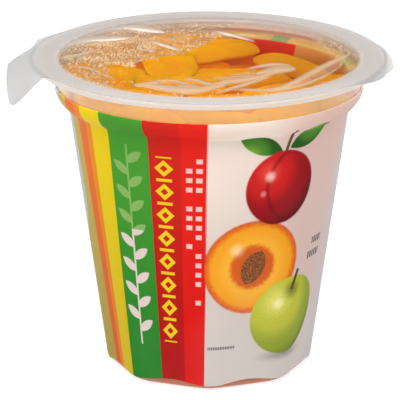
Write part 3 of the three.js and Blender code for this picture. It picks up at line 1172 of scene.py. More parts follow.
@dataclass(frozen=True)
class SleevePrint:
    """The sleeve's print: upright bands with plain marks, and a pale panel with three fruits.

    Ranges are of degrees or of heights in millimetres. Where one eases in, its second value is
    where it is full.
    """

    lean: float = 0.04
    middle_height: float = 37.0
    top_height: float = 71.0
    sprig_angle: float = -37.4
    sprig_pitch: float = 6.4
    sprig_rows: Range = (2, 10)
    sprig_change: float = 6.5
    stem_row: float = 1.7
    stem_half: float = 0.26
    leaf_out: float = 1.75
    leaf_half: float = 2.7
    leaf_slim: float = 0.44
    leaf_tilt: float = 52.0
    diamond_angle: float = -20.2
    diamond_pitch: float = 6.2
    diamond_rows: Range = (2, 10)
    diamond_half: Range = (2.3, 2.2)
    diamond_hollow: float = 0.42
    bar_half: Range = (2.0, 0.4)
    dash_pitch: float = 2.5
    dash_half: Range = (0.85, 0.72)
    dash_top: float = 62.5
    dash_columns: tuple[tuple[float, float, int], ...] = ((-9.2, 37.5, 4), (-4.9, 22.5, 5))
    sweep_from: float = -77.4
    sweep: float = 15.0
    sweep_heights: Range = (46.0, 22.0)
    strip_angles: Range = (98.0, 178.0)
    strip_heights: Range = (66.2, 69.0)
    mint_angles: Range = (144.6, 152.5)
    faint_mint_angles: Range = (98.0, 112.0)
    back_highlight_angles: Range = (96.0, 180.0)
    faint_share: float = 0.5
    line_angle: float = -118.0
    line_half: float = 9.0
    line_pitch: float = 2.4
    line_ink: float = 0.22
    line_cover: float = 0.8
    line_blocks: tuple[tuple[float, int], ...] = ((40.0, 9), (20.0, 5))
    panel_angles: Range = (-2.0, 92.0)
    clouds: float = 34.0
    cloud_ease: Range = (0.42, 0.7)
    small_pitch: float = 1.25
    small_ink: Range = (0.2, 0.85)
    bloom: float = 22.0
    bloom_ease: Range = (0.45, 0.75)
    bloom_cover: float = 0.05
    shoulder_shade_heights: Range = (66.4, 68.2)
    shoulder_shade_depth: float = 0.11
    see_through: float = 0.45
    gloss: float = 0.3
    shine: float = 0.22
    ripples: float = 150.0
    ripple_depth: float = 0.2
    ripple_strength: float = 0.35

    def bands(self, s: SleeveShader) -> None:
        """Paints the upright bands, each a little darker towards its foot as painted shade.

        The outer edge of the olive one sweeps back over the pale blue as it comes down.

        Args:
            s: the sleeve's shader.
        """
        share = s.math("MULTIPLY_ADD", s.degrees, 1 / FULL_TURN, 0.5)
        starts = [0.0, *[band.ends_at / FULL_TURN + 0.5 for band in BANDS[:-1]]]
        tops = s.ramp(share, list(zip(starts, (band.top for band in BANDS))), hard=True)
        feet = s.ramp(share, list(zip(starts, (band.foot for band in BANDS))), hard=True)
        # Painted shade: the colours darken from the top down to the foot.
        fade = s.ease(s.height, self.top_height, 0.0)
        s.colour = s.mix(fade, tops, feet)
        olive = next(band for band in BANDS if band.name == "olive")
        swept = s.ease(s.height, *self.sweep_heights)
        edge = s.math("MULTIPLY_ADD", swept, -self.sweep, self.sweep_from)
        inside = s.math("GREATER_THAN", s.degrees, edge)
        beyond = s.times(inside, s.math("LESS_THAN", s.degrees, self.sweep_from))
        s.paint(beyond, s.mix(fade, olive.top, olive.foot))

    def shoulder(self, s: SleeveShader) -> None:
        """Darkens the print over the shoulder and above it with painted shade."""
        s.paint(s.ease(s.height, *self.shoulder_shade_heights), INK.shade, self.shoulder_shade_depth)

    def back(self, s: SleeveShader) -> None:
        """Paints the back: a pale strip over the colours with a painted highlight above it along the
        sleeve's top edge, and rows of fine grey lines.

        Args:
            s: the sleeve's shader.
        """
        foot, top = self.strip_heights
        strip = s.times(s.between(s.degrees, *self.strip_angles), s.between(s.height, foot, top))
        faint = s.times(s.between(s.degrees, *self.faint_mint_angles), self.faint_share)
        mint = s.most(s.between(s.degrees, *self.mint_angles), faint)
        s.paint(strip, s.mix(mint, INK.cream, INK.mint))
        # Painted highlight: pale pink along the top edge above the strip.
        above = s.math("GREATER_THAN", s.height, top)
        s.paint(s.times(s.between(s.degrees, *self.back_highlight_angles), above), INK.back_highlight)
        for height, lines in self.line_blocks:
            spot = Spot(self.line_angle, height, self.line_half, lines * self.line_pitch / 2)
            line = s.math("FRACT", s.math("DIVIDE", s.height, self.line_pitch))
            inked = s.times(s.bar(s.at(spot), 0.01), s.between(line, 0.0, self.line_ink))
            s.paint(inked, INK.grey, self.line_cover)

    def panel(self, s: SleeveShader) -> None:
        """Warms the front panel in soft clouds, lightens its upper left and cools its far side with a
        painted sheen where the sleeve turns away.

        Args:
            s: the sleeve's shader.
        """
        for wash in WASHES:
            mask = s.ease(s.degrees, *wash.angles)
            if wash.heights:
                mask = s.times(mask, s.ease(s.height, *wash.heights))
            if wash.clouded:
                mask = s.times(mask, s.ease(s.noise(self.clouds), *self.cloud_ease))
            s.paint(mask, wash.colour, wash.cover)

    def sprig(self, s: SleeveShader) -> None:
        """Paints a sprig up the green band, pale green above and white below.

        Args:
            s: the sleeve's shader.
        """
        angle, pitch, half = self.sprig_angle, self.sprig_pitch, self.leaf_half
        first, last = self.sprig_rows
        leaves = []
        for shift, side in ((0.0, 1), (0.5, -1)):
            out = math.degrees(side * self.leaf_out / REEL_RADIUS)
            spot = Spot(out, 0.0, half, half, 90 - side * self.leaf_tilt)
            leaf = s.leaf(s.at(spot, s.rows(angle, pitch, shift)), self.leaf_slim)
            kept = s.between(s.height, (first + shift) * pitch, (last - shift) * pitch)
            leaves.append(s.times(leaf, kept))
        stem = s.bar(s.at(Spot(0.0, 0.0, self.stem_half, pitch), s.rows(angle, pitch)))
        stem = s.times(stem, s.between(s.height, self.stem_row * pitch, last * pitch))
        shape = s.most(s.most(*leaves), stem)
        change = self.sprig_change * pitch
        s.paint(s.times(shape, s.math("GREATER_THAN", s.height, change)), INK.pale_leaf, 0.9)
        s.paint(s.times(shape, s.math("LESS_THAN", s.height, change)), INK.white_leaf)

    def diamonds(self, s: SleeveShader) -> None:
        """Paints yellow diamonds up the dark red band, with a bar between each two.

        Args:
            s: the sleeve's shader.
        """
        angle, pitch = self.diamond_angle, self.diamond_pitch
        x, y, _ = s.axes(s.at(Spot(0, 0, *self.diamond_half), s.rows(angle, pitch)))
        slant = s.math("ADD", s.math("ABSOLUTE", x), s.math("ABSOLUTE", y))
        bars = s.bar(s.at(Spot(0, 0, *self.bar_half), s.rows(angle, pitch, 0.5)))
        column = s.most(s.between(slant, self.diamond_hollow, 1.0), bars)
        first, last = self.diamond_rows
        s.paint(s.times(column, s.between(s.height, first * pitch, last * pitch)), INK.yellow)

    def dashes(self, s: SleeveShader) -> None:
        """Paints columns of pale squares on the red bands, with one left out now and then.

        Args:
            s: the sleeve's shader.
        """
        for angle, foot, run in self.dash_columns:
            dash = s.bar(s.at(Spot(0, 0, *self.dash_half), s.rows(angle, self.dash_pitch)), 0.3)
            place = s.math("FRACT", s.math("DIVIDE", s.height, run * self.dash_pitch))
            kept = s.math("GREATER_THAN", place, 1 / run)
            shown = s.times(kept, s.between(s.height, foot, self.dash_top))
            s.paint(s.times(dash, shown), INK.dash)

    def plum(self, s: SleeveShader) -> None:
        """Paints a round red plum with a stalk and two leaves.

        Args:
            s: the sleeve's shader.
        """
        for spot in PLUM_LEAVES:
            blade = s.at(spot)
            s.paint(s.leaf(blade), s.ramp(s.reach(blade, LEAF_LIT), LEAF_STOPS))
        s.paint(s.bar(s.at(PLUM_STALK)), INK.plum_stalk)
        s.ball(PLUM, PLUM_LIT, PLUM_STOPS)
        off_crease = s.math("SUBTRACT", s.reach(s.at(PLUM_FOLD)), 1.0)
        crease = s.ease(s.math("ABSOLUTE", off_crease), 0.09, 0.0)
        s.paint(s.times(crease, s.disc(PLUM)), INK.plum_crease, 0.5)
        s.paint(s.disc(PLUM_LIGHT, soft=0.9), INK.plum_light, 0.85)
        s.paint(s.disc(PLUM_GLOW, soft=0.9), INK.plum_glow, 0.5)

    def peach(self, s: SleeveShader) -> None:
        """Paints half a peach, cut across, with its stone.

        Args:
            s: the sleeve's shader.
        """
        ripple = s.noise(0.9, detail=3.0, where=s.flat)
        reach = s.math("ADD", s.reach(s.at(PEACH)), s.math("MULTIPLY_ADD", ripple, 0.12, -0.06))
        s.paint(s.disc(PEACH), s.ramp(reach, PEACH_STOPS))
        grain = s.noise(2.2, detail=4.0, where=s.flat)
        s.paint(s.leaf(s.at(PEACH_STONE), slim=0.72), s.ramp(grain, STONE_STOPS))
        s.paint(s.disc(PEACH_LIGHT, soft=1.0), INK.peach_light, 0.7)

    def apple(self, s: SleeveShader) -> None:
        """Paints a round yellow-green apple with its stalk and its shadow.

        Args:
            s: the sleeve's shader.
        """
        s.paint(s.disc(APPLE_SHADOW, soft=1.0), INK.apple_shadow, 0.55)
        s.ball(APPLE, APPLE_LIT, APPLE_STOPS)
        flecks = s.ease(s.noise(2.6, where=s.flat), 0.6, 0.68)
        s.paint(s.times(flecks, s.disc(APPLE, soft=0.3)), INK.apple_fleck, 0.45)
        s.paint(s.disc(APPLE_HOLLOW, soft=1.0), INK.apple_hollow, 0.8)
        s.paint(s.bar(s.at(APPLE_STALK)), INK.apple_stalk)
        s.paint(s.disc(APPLE_LIGHT, soft=1.0), INK.apple_light, 0.8)

    def small_rows(self, s: SleeveShader) -> None:
        """Paints rows of small dark dashes.

        Args:
            s: the sleeve's shader.
        """
        for spot in SMALL_ROWS:
            cell = s.math("FRACT", s.math("DIVIDE", s.across, spot.tall * self.small_pitch))
            s.paint(s.times(s.bar(s.at(spot)), s.between(cell, *self.small_ink)), INK.small, 0.9)

    def material(self) -> bpy.types.Material:
        """Makes the material.

        Returns:
            The finished material.
        """
        s = SleeveShader("printed_shrink_film", self.lean, self.middle_height)
        for paint in (self.bands, self.back, self.sprig, self.diamonds, self.dashes):
            paint(s)
        banded = s.colour
        for paint in (self.panel, self.peach, self.apple, self.plum, self.small_rows):
            paint(s)
        s.colour = s.mix(s.between(s.degrees, *self.panel_angles), banded, s.colour)
        # Painted shade over the shoulder and the sleeve above it.
        self.shoulder(s)
        bloom = s.ease(s.noise(self.bloom, detail=3.0), *self.bloom_ease)
        s.paint(bloom, WHITE, self.bloom_cover)
        film = s.milky(s.colour, self.see_through)
        ripple = s.bump(s.noise(self.ripples), self.ripple_depth * MM, self.ripple_strength)
        mirrored = s.times(s.glint(ripple), self.shine)
        return s.done(s.glazed(film, mirrored, self.gloss, ripple))


@dataclass(frozen=True)
class Sleeve:
    """The thin sleeve shrunk on from the collar to the lower edge."""

    form: Body = BODY_FORM
    gap: float = 0.2
    thickness: float = 0.25
    top: float = 71.8
    foot: float = 1.45
    wave: float = 0.95
    row_pulls: Range = (0.22, 0.92)
    around: int = 288
    rows: int = 110

    def build(self) -> bpy.types.Object:
        """Makes the sleeve's mesh.

        Returns:
            The sleeve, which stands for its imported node.
        """
        angles = even_angles(self.around)
        foot = self.foot + self.wave * (1 - np.cos(self.form.corners * angles)) / 2
        share = bezier([[0], *[[pull] for pull in self.row_pulls], [1]], self.rows - 1)
        heights = foot + (self.top - foot) * share
        shares = self.form.share_at(heights)
        outside = self.form.surface(angles, shares, self.gap + self.thickness)
        inside = self.form.surface(angles, shares, self.gap)
        sleeve = skin("printed_sleeve", np.vstack([outside, inside[::-1]]), Ends.JOINED)
        return settle(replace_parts(sleeve, "label"), "printed_sleeve", SleevePrint().material())


# ---------------------------------------------------------------------------------------------
# The film lid
# ---------------------------------------------------------------------------------------------


# The furthest turn, in degrees, over which a tab's straight sides are followed.
FURTHEST_TURN = 80


@dataclass(frozen=True)
class Tab:
    """A tab of the film's edge. Its angles are off its heading and grow towards the front.

    Its offsets and its reach are flat distances from the cup's axis.
    """

    heading: float
    forwards: int
    front_shoulder: float
    back_shoulder: float
    side_turn: float
    side_offset: float
    front_extra: float
    reach: float
    end_turn: float
    front_corner: float
    back_corner: float
    fold_round: float
    slope: float
    twist: float
    spread: float
    fade: Range

    def edge(self, off: np.ndarray, round_edge: float) -> np.ndarray:
        """Flat distance from the axis to the film's edge.

        Args:
            off: angles forwards of the heading, in degrees.
            round_edge: the film's radius away from its tabs.

        Returns:
            The distance at each angle.
        """
        shoulder = np.where(off > 0, self.front_shoulder, self.back_shoulder)
        away = np.abs(off)
        tangent = round_edge / np.cos(np.radians(np.minimum(shoulder - away, FURTHEST_TURN)))
        offset = self.side_offset + np.where(off > 0, self.front_extra, 0)
        own_side = offset / np.cos(np.radians(self.side_turn - away))
        side = np.maximum(tangent, own_side)
        past_end = np.clip(off - self.end_turn, -FURTHEST_TURN, FURTHEST_TURN)
        end = self.reach / np.cos(np.radians(past_end))
        corner = np.where(off > 0, self.front_corner, self.back_corner)
        blend = np.maximum(0, 1 - np.abs(side - end) / corner)
        cut = np.minimum(side, end) - corner * blend**2 / 4
        return np.where(away >= shoulder, round_edge, cut)

    def hang(self, off: np.ndarray) -> np.ndarray:
        """How steeply the film hangs past its fold.

        Args:
            off: angles forwards of the heading, in degrees.

        Returns:
            The slope at each angle, in radians.
        """
        full = self.slope + self.twist * np.clip(off / self.spread, -1, 1)
        return np.radians(full * (1 - smoothstep(*self.fade, -off)))


PULL_TAB = Tab(
    heading=270, forwards=1, front_shoulder=35, back_shoulder=38.5, side_turn=75.8,
    side_offset=24.6, front_extra=2.7, reach=52.2, end_turn=-6, front_corner=9, back_corner=3,
    fold_round=2.2, slope=46, twist=14, spread=14, fade=(17, 20.5),
)
SPARE_TAB = Tab(
    heading=90, forwards=-1, front_shoulder=45, back_shoulder=21.5, side_turn=0,
    side_offset=0, front_extra=0, reach=46.0, end_turn=12, front_corner=6, back_corner=1.6,
    fold_round=0.9, slope=46, twist=38, spread=9, fade=(22, 30),
)


def through(points: Sequence[tuple[float, float]], steps: int) -> np.ndarray:
    """A smooth line through some points.

    Args:
        points: the points it runs through.
        steps: how many steps there are from each to the next.

    Returns:
        The line's points, one a row.
    """
    knots = np.array([points[0], *points, points[-1]], dtype=float)
    shares = np.linspace(0, 1, steps, endpoint=False)[:, None]
    pieces = []
    for before, start, end, after in zip(knots, knots[1:], knots[2:], knots[3:]):
        turn = (end - before) * shares + (2 * before - 5 * start + 4 * end - after) * shares**2
        pieces.append(start + (turn + (3 * (start - end) + after - before) * shares**3) / 2)
    return np.vstack([*pieces, knots[-1:]])


@dataclass(frozen=True)
class Crease:
    """A soft fold in the film along a line through its points, which run towards +X.

    Its width is across Y, at its middle. The film is lifted along it, so its near side mirrors the
    lamps, and painted pale along it as a painted highlight where its thin folds shine.
    Its edge and its pale core are shares of half its width.
    """

    points: tuple[tuple[float, float], ...]
    width: float
    pale: float = 1.0
    slope: float = 0.045
    steps: int = 12
    tip: float = 0.004
    taper: float = 0.6
    end_fade: float = 3.0
    edge: float = 1.25
    shine_core: float = 0.45

    def off_line(self, x: np.ndarray, y: np.ndarray) -> tuple[np.ndarray, np.ndarray]:
        """How far places are off the line.

        Args:
            x, y: places on the film, in millimetres.

        Returns:
            The share of half its width that each is off it, and how wide it is there as a share.
        """
        line = through(self.points, self.steps)
        along = (x - line[0, 0]) / (line[-1, 0] - line[0, 0])
        swell = np.sin(math.pi * np.clip(along, self.tip, 1 - self.tip)) ** self.taper
        away = np.abs(y - np.interp(x, line[:, 0], line[:, 1]))
        beyond = np.maximum(0, np.abs(along - 0.5) - 0.5) * (line[-1, 0] - line[0, 0])
        return (away + self.end_fade * beyond) / (self.width / 2 * swell), swell

    def lift(self, x: np.ndarray, y: np.ndarray) -> np.ndarray:
        """How far the film is lifted at some places, in millimetres."""
        away, swell = self.off_line(x, y)
        return self.slope * self.width / 2 * swell * smoothstep(self.edge, 0, away)

    def painted_shine(self, x: np.ndarray, y: np.ndarray) -> np.ndarray:
        """How strongly the painted highlight whitens the film at some places, from 0 to 1."""
        away, _ = self.off_line(x, y)
        return self.pale * smoothstep(self.edge, self.shine_core, away)


# Each crease lifts the film, which then mirrors the lamps, and is painted pale as a painted highlight.
CREASES = (
    Crease(((-27, 27), (-20, 28.5), (-10.5, 23.5)), 8.0, 0.72),
    Crease(((-36.5, 9), (-30.5, 16), (-19.5, 18)), 7.5, 0.72),
    Crease(((-37, -1.5), (-32, 2), (-27.5, 7)), 3.0, 0.75),
    Crease(((-15, 16), (-11.5, 12.5), (-7, 8)), 3.6, 0.8),
    Crease(((-34.5, -8), (-31.5, -9.5), (-28.5, -11.5), (-22.5, -21.5)), 2.2, 0.7),
    Crease(((-37, -3), (-34, -15), (-28.5, -23), (-22, -29.5)), 2.0, 0.7),
    Crease(
        ((-18.6, -25.8), (-15, -24.7), (-12.6, -22.2), (-10, -21.1), (-7, -22.5), (-1, -29)), 2.8
    ),
    Crease(((-18.3, -26), (-14.8, -26.2), (-11, -28.4), (-4.2, -30.4), (1.4, -27), (5, -23)), 7.6),
    Crease(((-17, -25.6), (-14.5, -24.7), (-11.8, -24.2)), 4.6),
    Crease(((-8.2, -27.2), (-5.4, -27.4), (-1.5, -28.6)), 5.2),
    Crease(((-6.4, -19.3), (-3.7, -20.4), (-1.5, -22.7), (0.8, -24.8), (4.4, -23.6)), 3.6),
    Crease(((-2.4, -29), (1, -25.3), (4.1, -22), (8.7, -20), (11.8, -18.2), (17, -12.7)), 5.6),
    Crease(((0.4, -18.8), (3.8, -18.4), (7.5, -17.1), (14, -16.2)), 2.4, 0.85),
    Crease(((5, -15.6), (9.9, -13.8), (15, -12.9)), 1.6, 0.7),
    Crease(((11.4, -14.5), (15.5, -11.2), (21, -10.4)), 8.2),
    Crease(((9, -9.8), (11.9, -7.5), (14.9, -6.1), (18.3, -6.4), (21, -9.9)), 3.2),
    Crease(((1.4, -33.3), (3.8, -30.3), (6.4, -27.4), (9.8, -23.4), (15, -17.2)), 3.0),
    Crease(((5.3, -29.6), (9.8, -30), (13.6, -30.8), (18.3, -29)), 2.3, 0.85),
    Crease(((12.4, -31), (17, -29), (20.7, -23.3), (25.8, -13), (29.6, -6), (34.6, 2.2)), 6.2, 0.9),
    Crease(
        ((12.7, -31.4), (18.2, -29.3), (22.6, -25.6), (26.8, -19.7), (30.6, -12), (34.2, -0.8)),
        2.3,
        0.85,
    ),
    Crease(((18.5, -27.8), (22.4, -22), (30.5, -7.5), (34.2, 0.6)), 8.0, 0.34, 0.0),
    Crease(((0.5, 25), (5.5, 21.5), (11.5, 15.5)), 3.0, 0.85),
)


@dataclass(frozen=True)
class ClearFilm:
    """Clear sealing film, frosted where it is welded to the flange and over its tabs, painted pale along
    its creases as painted highlights, darkened along the tabs' bend with painted shade, and painted
    lighter over the weld's front as painted light.
    """

    frost: Colour = srgb(179, 176, 174)
    # Painted light: the weld is painted lighter towards the front.
    lit_front_frost: Colour = srgb(189, 185, 182)
    front_from: float = -18.0
    front_full: float = -36.0
    frost_from: float = 36.4
    frost_full: float = 38.4
    cover: float = 0.7
    tab_from: float = 43.2
    tab_frost: Colour = srgb(177, 177, 178)
    pull_cover: float = 0.6
    spare_cover: float = 0.36
    bend_shade: Colour = srgb(128, 128, 130)
    bend_depth: float = 0.28
    bend_edge: float = 0.9
    bend_core: float = 0.2
    tint: Colour = srgb(252, 252, 251)
    through: float = 0.5
    # Painted highlight along the creases: its colour at the front and at the back, and how much it
    # covers.
    fold_shine: Colour = srgb(216, 200, 174)
    back_fold_shine: Colour = srgb(206, 199, 192)
    back_full: float = 12.0
    fold_shine_cover: float = 0.7
    roughness: float = 0.06
    frost_roughens: float = 0.3
    frost_dulls: float = 0.75

    def material(self) -> bpy.types.Material:
        """Makes the material.

        Returns:
            The finished material.
        """
        s = Shader("clear_sealing_film")
        x, y, _ = s.axes()
        flat = s.add("CombineXYZ", {"X": x, "Y": y}).outputs[0]
        distance = s.add("VectorMath", {0: flat}, operation="LENGTH").outputs["Value"]
        frosted = s.ease(distance, self.frost_from * MM, self.frost_full * MM)
        tab = s.ease(distance, self.tab_from * MM, (self.tab_from + 1) * MM)
        front = s.ease(y, self.front_from * MM, self.front_full * MM)
        fold = s.mix(s.ease(y, 0.0, self.back_full * MM), self.fold_shine, self.back_fold_shine)
        colour = s.mix(tab, s.mix(front, self.frost, self.lit_front_frost), self.tab_frost)
        off_bend = s.math("ABSOLUTE", s.math("SUBTRACT", distance, (self.tab_from + 0.5) * MM))
        bend = s.times(s.ease(off_bend, self.bend_edge * MM, self.bend_core * MM), self.bend_depth)
        colour = s.mix(frosted, fold, s.mix(bend, colour, self.bend_shade))
        to_spare = s.times(s.math("GREATER_THAN", x, 0.0), self.spare_cover - self.pull_cover)
        on_tabs = s.math("ADD", to_spare, self.pull_cover - self.cover)
        weld = s.times(frosted, s.math("MULTIPLY_ADD", tab, on_tabs, self.cover))
        # The creases' painted highlight covers the film where it is stronger than the weld's frost.
        cover = s.most(weld, s.times(s.attribute(FOLD_SHINE), self.fold_shine_cover))
        veiled = s.blend(cover, s.clear(self.tint), s.milky(colour, self.through))
        rough = s.math("MULTIPLY_ADD", frosted, self.frost_roughens, self.roughness)
        dulled = s.math("MULTIPLY_ADD", frosted, -self.frost_dulls, 1.0)
        return s.done(s.glazed(veiled, s.times(s.glint(), dulled), rough))


@dataclass(frozen=True)
class FilmLid:
    """The film: welded to the flange, loosely wrinkled over the mouth, with its two tabs."""

    top: float = field(default_factory=lambda: box_top("film_lid"))
    edge: float = field(default_factory=lambda: box_reach("film_lid"))
    thickness: float = 0.3
    sag: float = 0.7
    centre: float = 0.5
    mouth: float = 36.8
    fold_stop: float = 0.94
    fold_inset: float = 0.2
    tabs: tuple[Tab, Tab] = (PULL_TAB, SPARE_TAB)
    window_rows: int = 88
    flange_rows: int = 12
    hanging_rows: int = 16
    tab_span: float = 42.0
    fine_step: float = 0.7
    plain_step: float = 1.2

    def turns(self) -> np.ndarray:
        """Angles of the film's columns, finer at its tabs.

        Returns:
            The angles in rising order, in degrees.
        """
        half = FULL_TURN / 2
        fine = np.arange(-self.tab_span, self.tab_span, self.fine_step)
        at_tabs = [tab.heading + fine for tab in self.tabs]
        plain = np.arange(0, FULL_TURN, self.plain_step)
        away = [np.abs((plain - tab.heading + half) % FULL_TURN - half) for tab in self.tabs]
        plain = plain[np.min(away, axis=0) > self.tab_span + self.fine_step]
        return np.sort(np.concatenate([plain, *at_tabs]) % FULL_TURN)

    def sheet(self, depth: float) -> np.ndarray:
        """Points of the film, pushed off its upper face by a depth.

        Args:
            depth: the distance below its upper face.

        Returns:
            An array of rings by points by three, from the middle to the edge.
        """
        turns = self.turns()
        pull = turns > FULL_TURN / 2
        first, second = (t.forwards * (turns - t.heading) for t in self.tabs)
        off = np.where(pull, first, second)
        edge, slope = (
            np.where(pull, a, b)
            for a, b in (
                [tab.edge(off, self.edge) for tab in self.tabs],
                [tab.hang(off) for tab in self.tabs],
            )
        )
        bend_radius = np.where(pull, *[tab.fold_round for tab in self.tabs])
        fold = self.edge - self.fold_inset
        window = np.linspace(self.centre, self.mouth, self.window_rows)
        flange = np.linspace(self.mouth, fold, self.flange_rows + 1)[1:]
        hanging = fold + (edge - fold) * np.linspace(0, 1, self.hanging_rows + 1)[1:, None]
        level = np.concatenate([window, flange])[:, None] + 0 * turns
        angles = np.radians(turns)
        x, y = level * np.sin(angles), -level * np.cos(angles)
        inside = np.minimum(level / self.mouth, 1)
        slack = (1 - inside**2) ** 2
        lift = np.max([crease.lift(x, y) for crease in CREASES], axis=0)
        lift = lift * smoothstep(1, self.fold_stop, inside)
        height = self.top - self.sag * slack - depth + lift
        upper = np.stack([x, y, height], axis=-1)
        beyond = hanging - fold
        bend = np.minimum(beyond / bend_radius, slope)
        straight = np.maximum(0, beyond - bend_radius * slope)
        radius = bend_radius - depth
        reach = fold + radius * np.sin(bend) + straight * np.cos(bend)
        fall = bend_radius - radius * np.cos(bend) + straight * np.sin(bend)
        sides = [reach * np.sin(angles), -reach * np.cos(angles), self.top - fall]
        return np.vstack([upper, np.stack(sides, axis=-1)])

    def build(self) -> bpy.types.Object:
        """Makes the film's mesh.

        Returns:
            The film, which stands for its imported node.
        """
        rings = np.vstack([self.sheet(self.thickness), self.sheet(0)[::-1]])
        film = skin("film_lid_sheet", rings, Ends.CAPPED)
        x, y, _ = mesh_points(film).T
        # The creases are painted pale as painted highlights, inside the mouth only.
        pale = np.max([crease.painted_shine(x, y) for crease in CREASES], axis=0)
        mark(film, FOLD_SHINE, pale * (np.hypot(x, y) < self.mouth))
        finish = ClearFilm().material()
        return lets_lamps_through(settle(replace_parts(film, "film_lid"), "clear_film", finish))


# ---------------------------------------------------------------------------------------------
# The fruit and its syrup
# ---------------------------------------------------------------------------------------------


@dataclass(frozen=True)
class SlicePlace:
    """Where a peach slice lies: its centre, its turns in degrees, and its size."""

    x: float
    y: float
    z: float
    turn: float
    pitch: float
    roll: float
    size: float

    def matrix(self) -> Matrix:
        """Turns and moves a slice made at the origin, in millimetres."""
        turns = [math.radians(angle) for angle in (self.roll, self.pitch, self.turn)]
        return Matrix.Translation((self.x, self.y, self.z)) @ Euler(turns).to_matrix().to_4x4()


UPPER_SLICES = (
    SlicePlace(-9.4, 4.0, 69.2, 97, -2, -10, 0.82),
    SlicePlace(-0.2, 15.9, 69.4, 39, 8, 26, 0.88),
    SlicePlace(20.0, 4.2, 68.4, 132, -10, -26, 0.66),
    SlicePlace(5.8, -7.6, 67.8, 174, 1, -26, 0.82),
    SlicePlace(19, -20, 67.2, 34, -3, 20, 0.82),
    SlicePlace(29, -15.5, 66.8, 62, -4, 18, 0.76),
    SlicePlace(-23.2, -8.2, 67.8, 81, 4, 6, 0.86),
    SlicePlace(-24, 10, 68.2, 66, 3, 24, 0.82),
    SlicePlace(-9, 26, 67.8, 14, -3, 30, 0.76),
    SlicePlace(-22.5, 23, 67.6, 40, 3, 24, 0.68),
    SlicePlace(-32, 0, 67.2, 95, 3, -6, 0.62),
    SlicePlace(-10.0, -14.6, 68.0, 173, 2, -22, 0.86),
    SlicePlace(3, -28.5, 66.6, 4, -2, 24, 0.72),
    SlicePlace(-15.5, -26.5, 66.8, 152, 2, -20, 0.78),
)
MIDDLE_SLICES = (
    SlicePlace(-8, -8, 62.0, 20, 3, 10, 0.9),
    SlicePlace(-20, 2, 62.5, 100, -3, -12, 0.85),
    SlicePlace(10, -10, 61.5, 70, 4, 14, 0.85),
    SlicePlace(-6, 12, 62.0, 140, -4, 10, 0.85),
    SlicePlace(8, -22, 61.0, 10, 3, -12, 0.75),
    SlicePlace(-14, -20, 61.5, 40, -3, 16, 0.8),
    SlicePlace(23, -8, 61.0, 110, 3, 10, 0.7),
    SlicePlace(-20, 18, 62.0, 40, 3, 12, 0.7),
)
LOWER_SLICES = (
    SlicePlace(-15, -13, 57.6, 40, 5, 30, 0.9),
    SlicePlace(11, -15, 57.2, 152, -5, -28, 0.92),
    SlicePlace(-16, 12, 57.8, 118, 4, 24, 0.92),
    SlicePlace(6, 5, 57.4, 20, -4, -20, 0.96),
    SlicePlace(22, 1, 56.6, 96, 6, 30, 0.72),
)


def rounded(loop: np.ndarray, passes: int) -> np.ndarray:
    """A closed loop with its corners cut off again and again.

    Args:
        loop: its points, one a row.
        passes: how many times each corner is cut.

    Returns:
        The points of the rounded loop.
    """
    for _ in range(passes):
        following = np.roll(loop, -1, axis=0)
        pairs = np.stack([0.75 * loop + 0.25 * following, 0.25 * loop + 0.75 * following], axis=1)
        loop = pairs.reshape(-1, loop.shape[1])
    return loop


@dataclass(frozen=True)
class PeachFlesh:
    """Wet, slightly translucent peach flesh with faint fibres, darkened with painted shade towards +X at
    the back and along the front wall, and glowing faintly as painted light.
    """

    light: Colour = srgb(214, 158, 12)
    deep: Colour = srgb(204, 138, 8)
    # Painted shade: the flesh darkens towards +X behind the front, and along the front wall under the
    # flange.
    flesh_in_shade: Colour = srgb(186, 128, 8)
    shade_across: Range = (2.0, 22.0)
    shade_back: Range = (-28.0, -14.0)
    shade_front: Range = (-28.0, -34.0)
    shade_front_share: float = 0.6
    # Partly the flesh's own red near the stone, partly painted light: the red-orange of light scattered
    # into the gaps between slices.
    stone_red_and_gap_light: Colour = srgb(196, 84, 12)
    redden_ease: Range = (0.3, 1.0)
    redden_cover: float = 0.75
    raggedness: float = 0.5
    blotches: float = 90.0
    blotch_ease: Range = (0.3, 0.7)
    fibres: float = 700.0
    fibre_depth: float = 0.2
    fibre_strength: float = 0.4
    roughness: float = 0.6
    softness: float = 0.6
    soft_reach: tuple[float, float, float] = (1.0, 0.5, 0.15)
    soft_scale: float = 6.0
    # Painted light: a faint glow for light scattered through the flesh, stronger and redder towards the
    # stone.
    glow: Colour = srgb(174, 94, 2)
    stone_glow: Colour = (1.6, 0.36, 0.0, 1.0)
    glow_strength: float = 0.19

    def material(self) -> bpy.types.Material:
        """Makes the material.

        Returns:
            The finished material.
        """
        s = Shader("peach_flesh")
        blotch = s.noise(self.blotches, detail=3.0)
        across, back, _ = s.axes()
        limits = ((across, self.shade_across), (back, self.shade_back), (back, self.shade_front))
        far, behind, front = (s.ease(at, low * MM, high * MM) for at, (low, high) in limits)
        colour = s.mix(s.ease(blotch, *self.blotch_ease), self.deep, self.light)
        # Painted shade over the fruit to the right and at the front.
        in_shade = s.most(s.times(far, behind), s.times(front, self.shade_front_share))
        colour = s.mix(in_shade, colour, self.flesh_in_shade)
        ragged = s.math("MULTIPLY_ADD", blotch, self.raggedness, -self.raggedness / 2)
        inwards = s.math("ADD", s.attribute(STONE_SIDE), ragged)
        reddened = s.times(s.ease(inwards, *self.redden_ease), self.redden_cover)
        fibre = s.bump(s.noise(self.fibres, detail=3.0), self.fibre_depth * MM, self.fibre_strength)
        flesh = {
            "Base Color": s.mix(reddened, colour, self.stone_red_and_gap_light),
            "Roughness": self.roughness,
            "Specular IOR Level": 0.0,
            "Subsurface Weight": self.softness,
            "Subsurface Radius": self.soft_reach,
            "Subsurface Scale": self.soft_scale * MM,
            "Emission Color": s.mix(reddened, self.glow, self.stone_glow),
            "Emission Strength": self.glow_strength,
            "Normal": fibre,
        }
        return s.done(s.add("BsdfPrincipled", flesh).outputs[0])


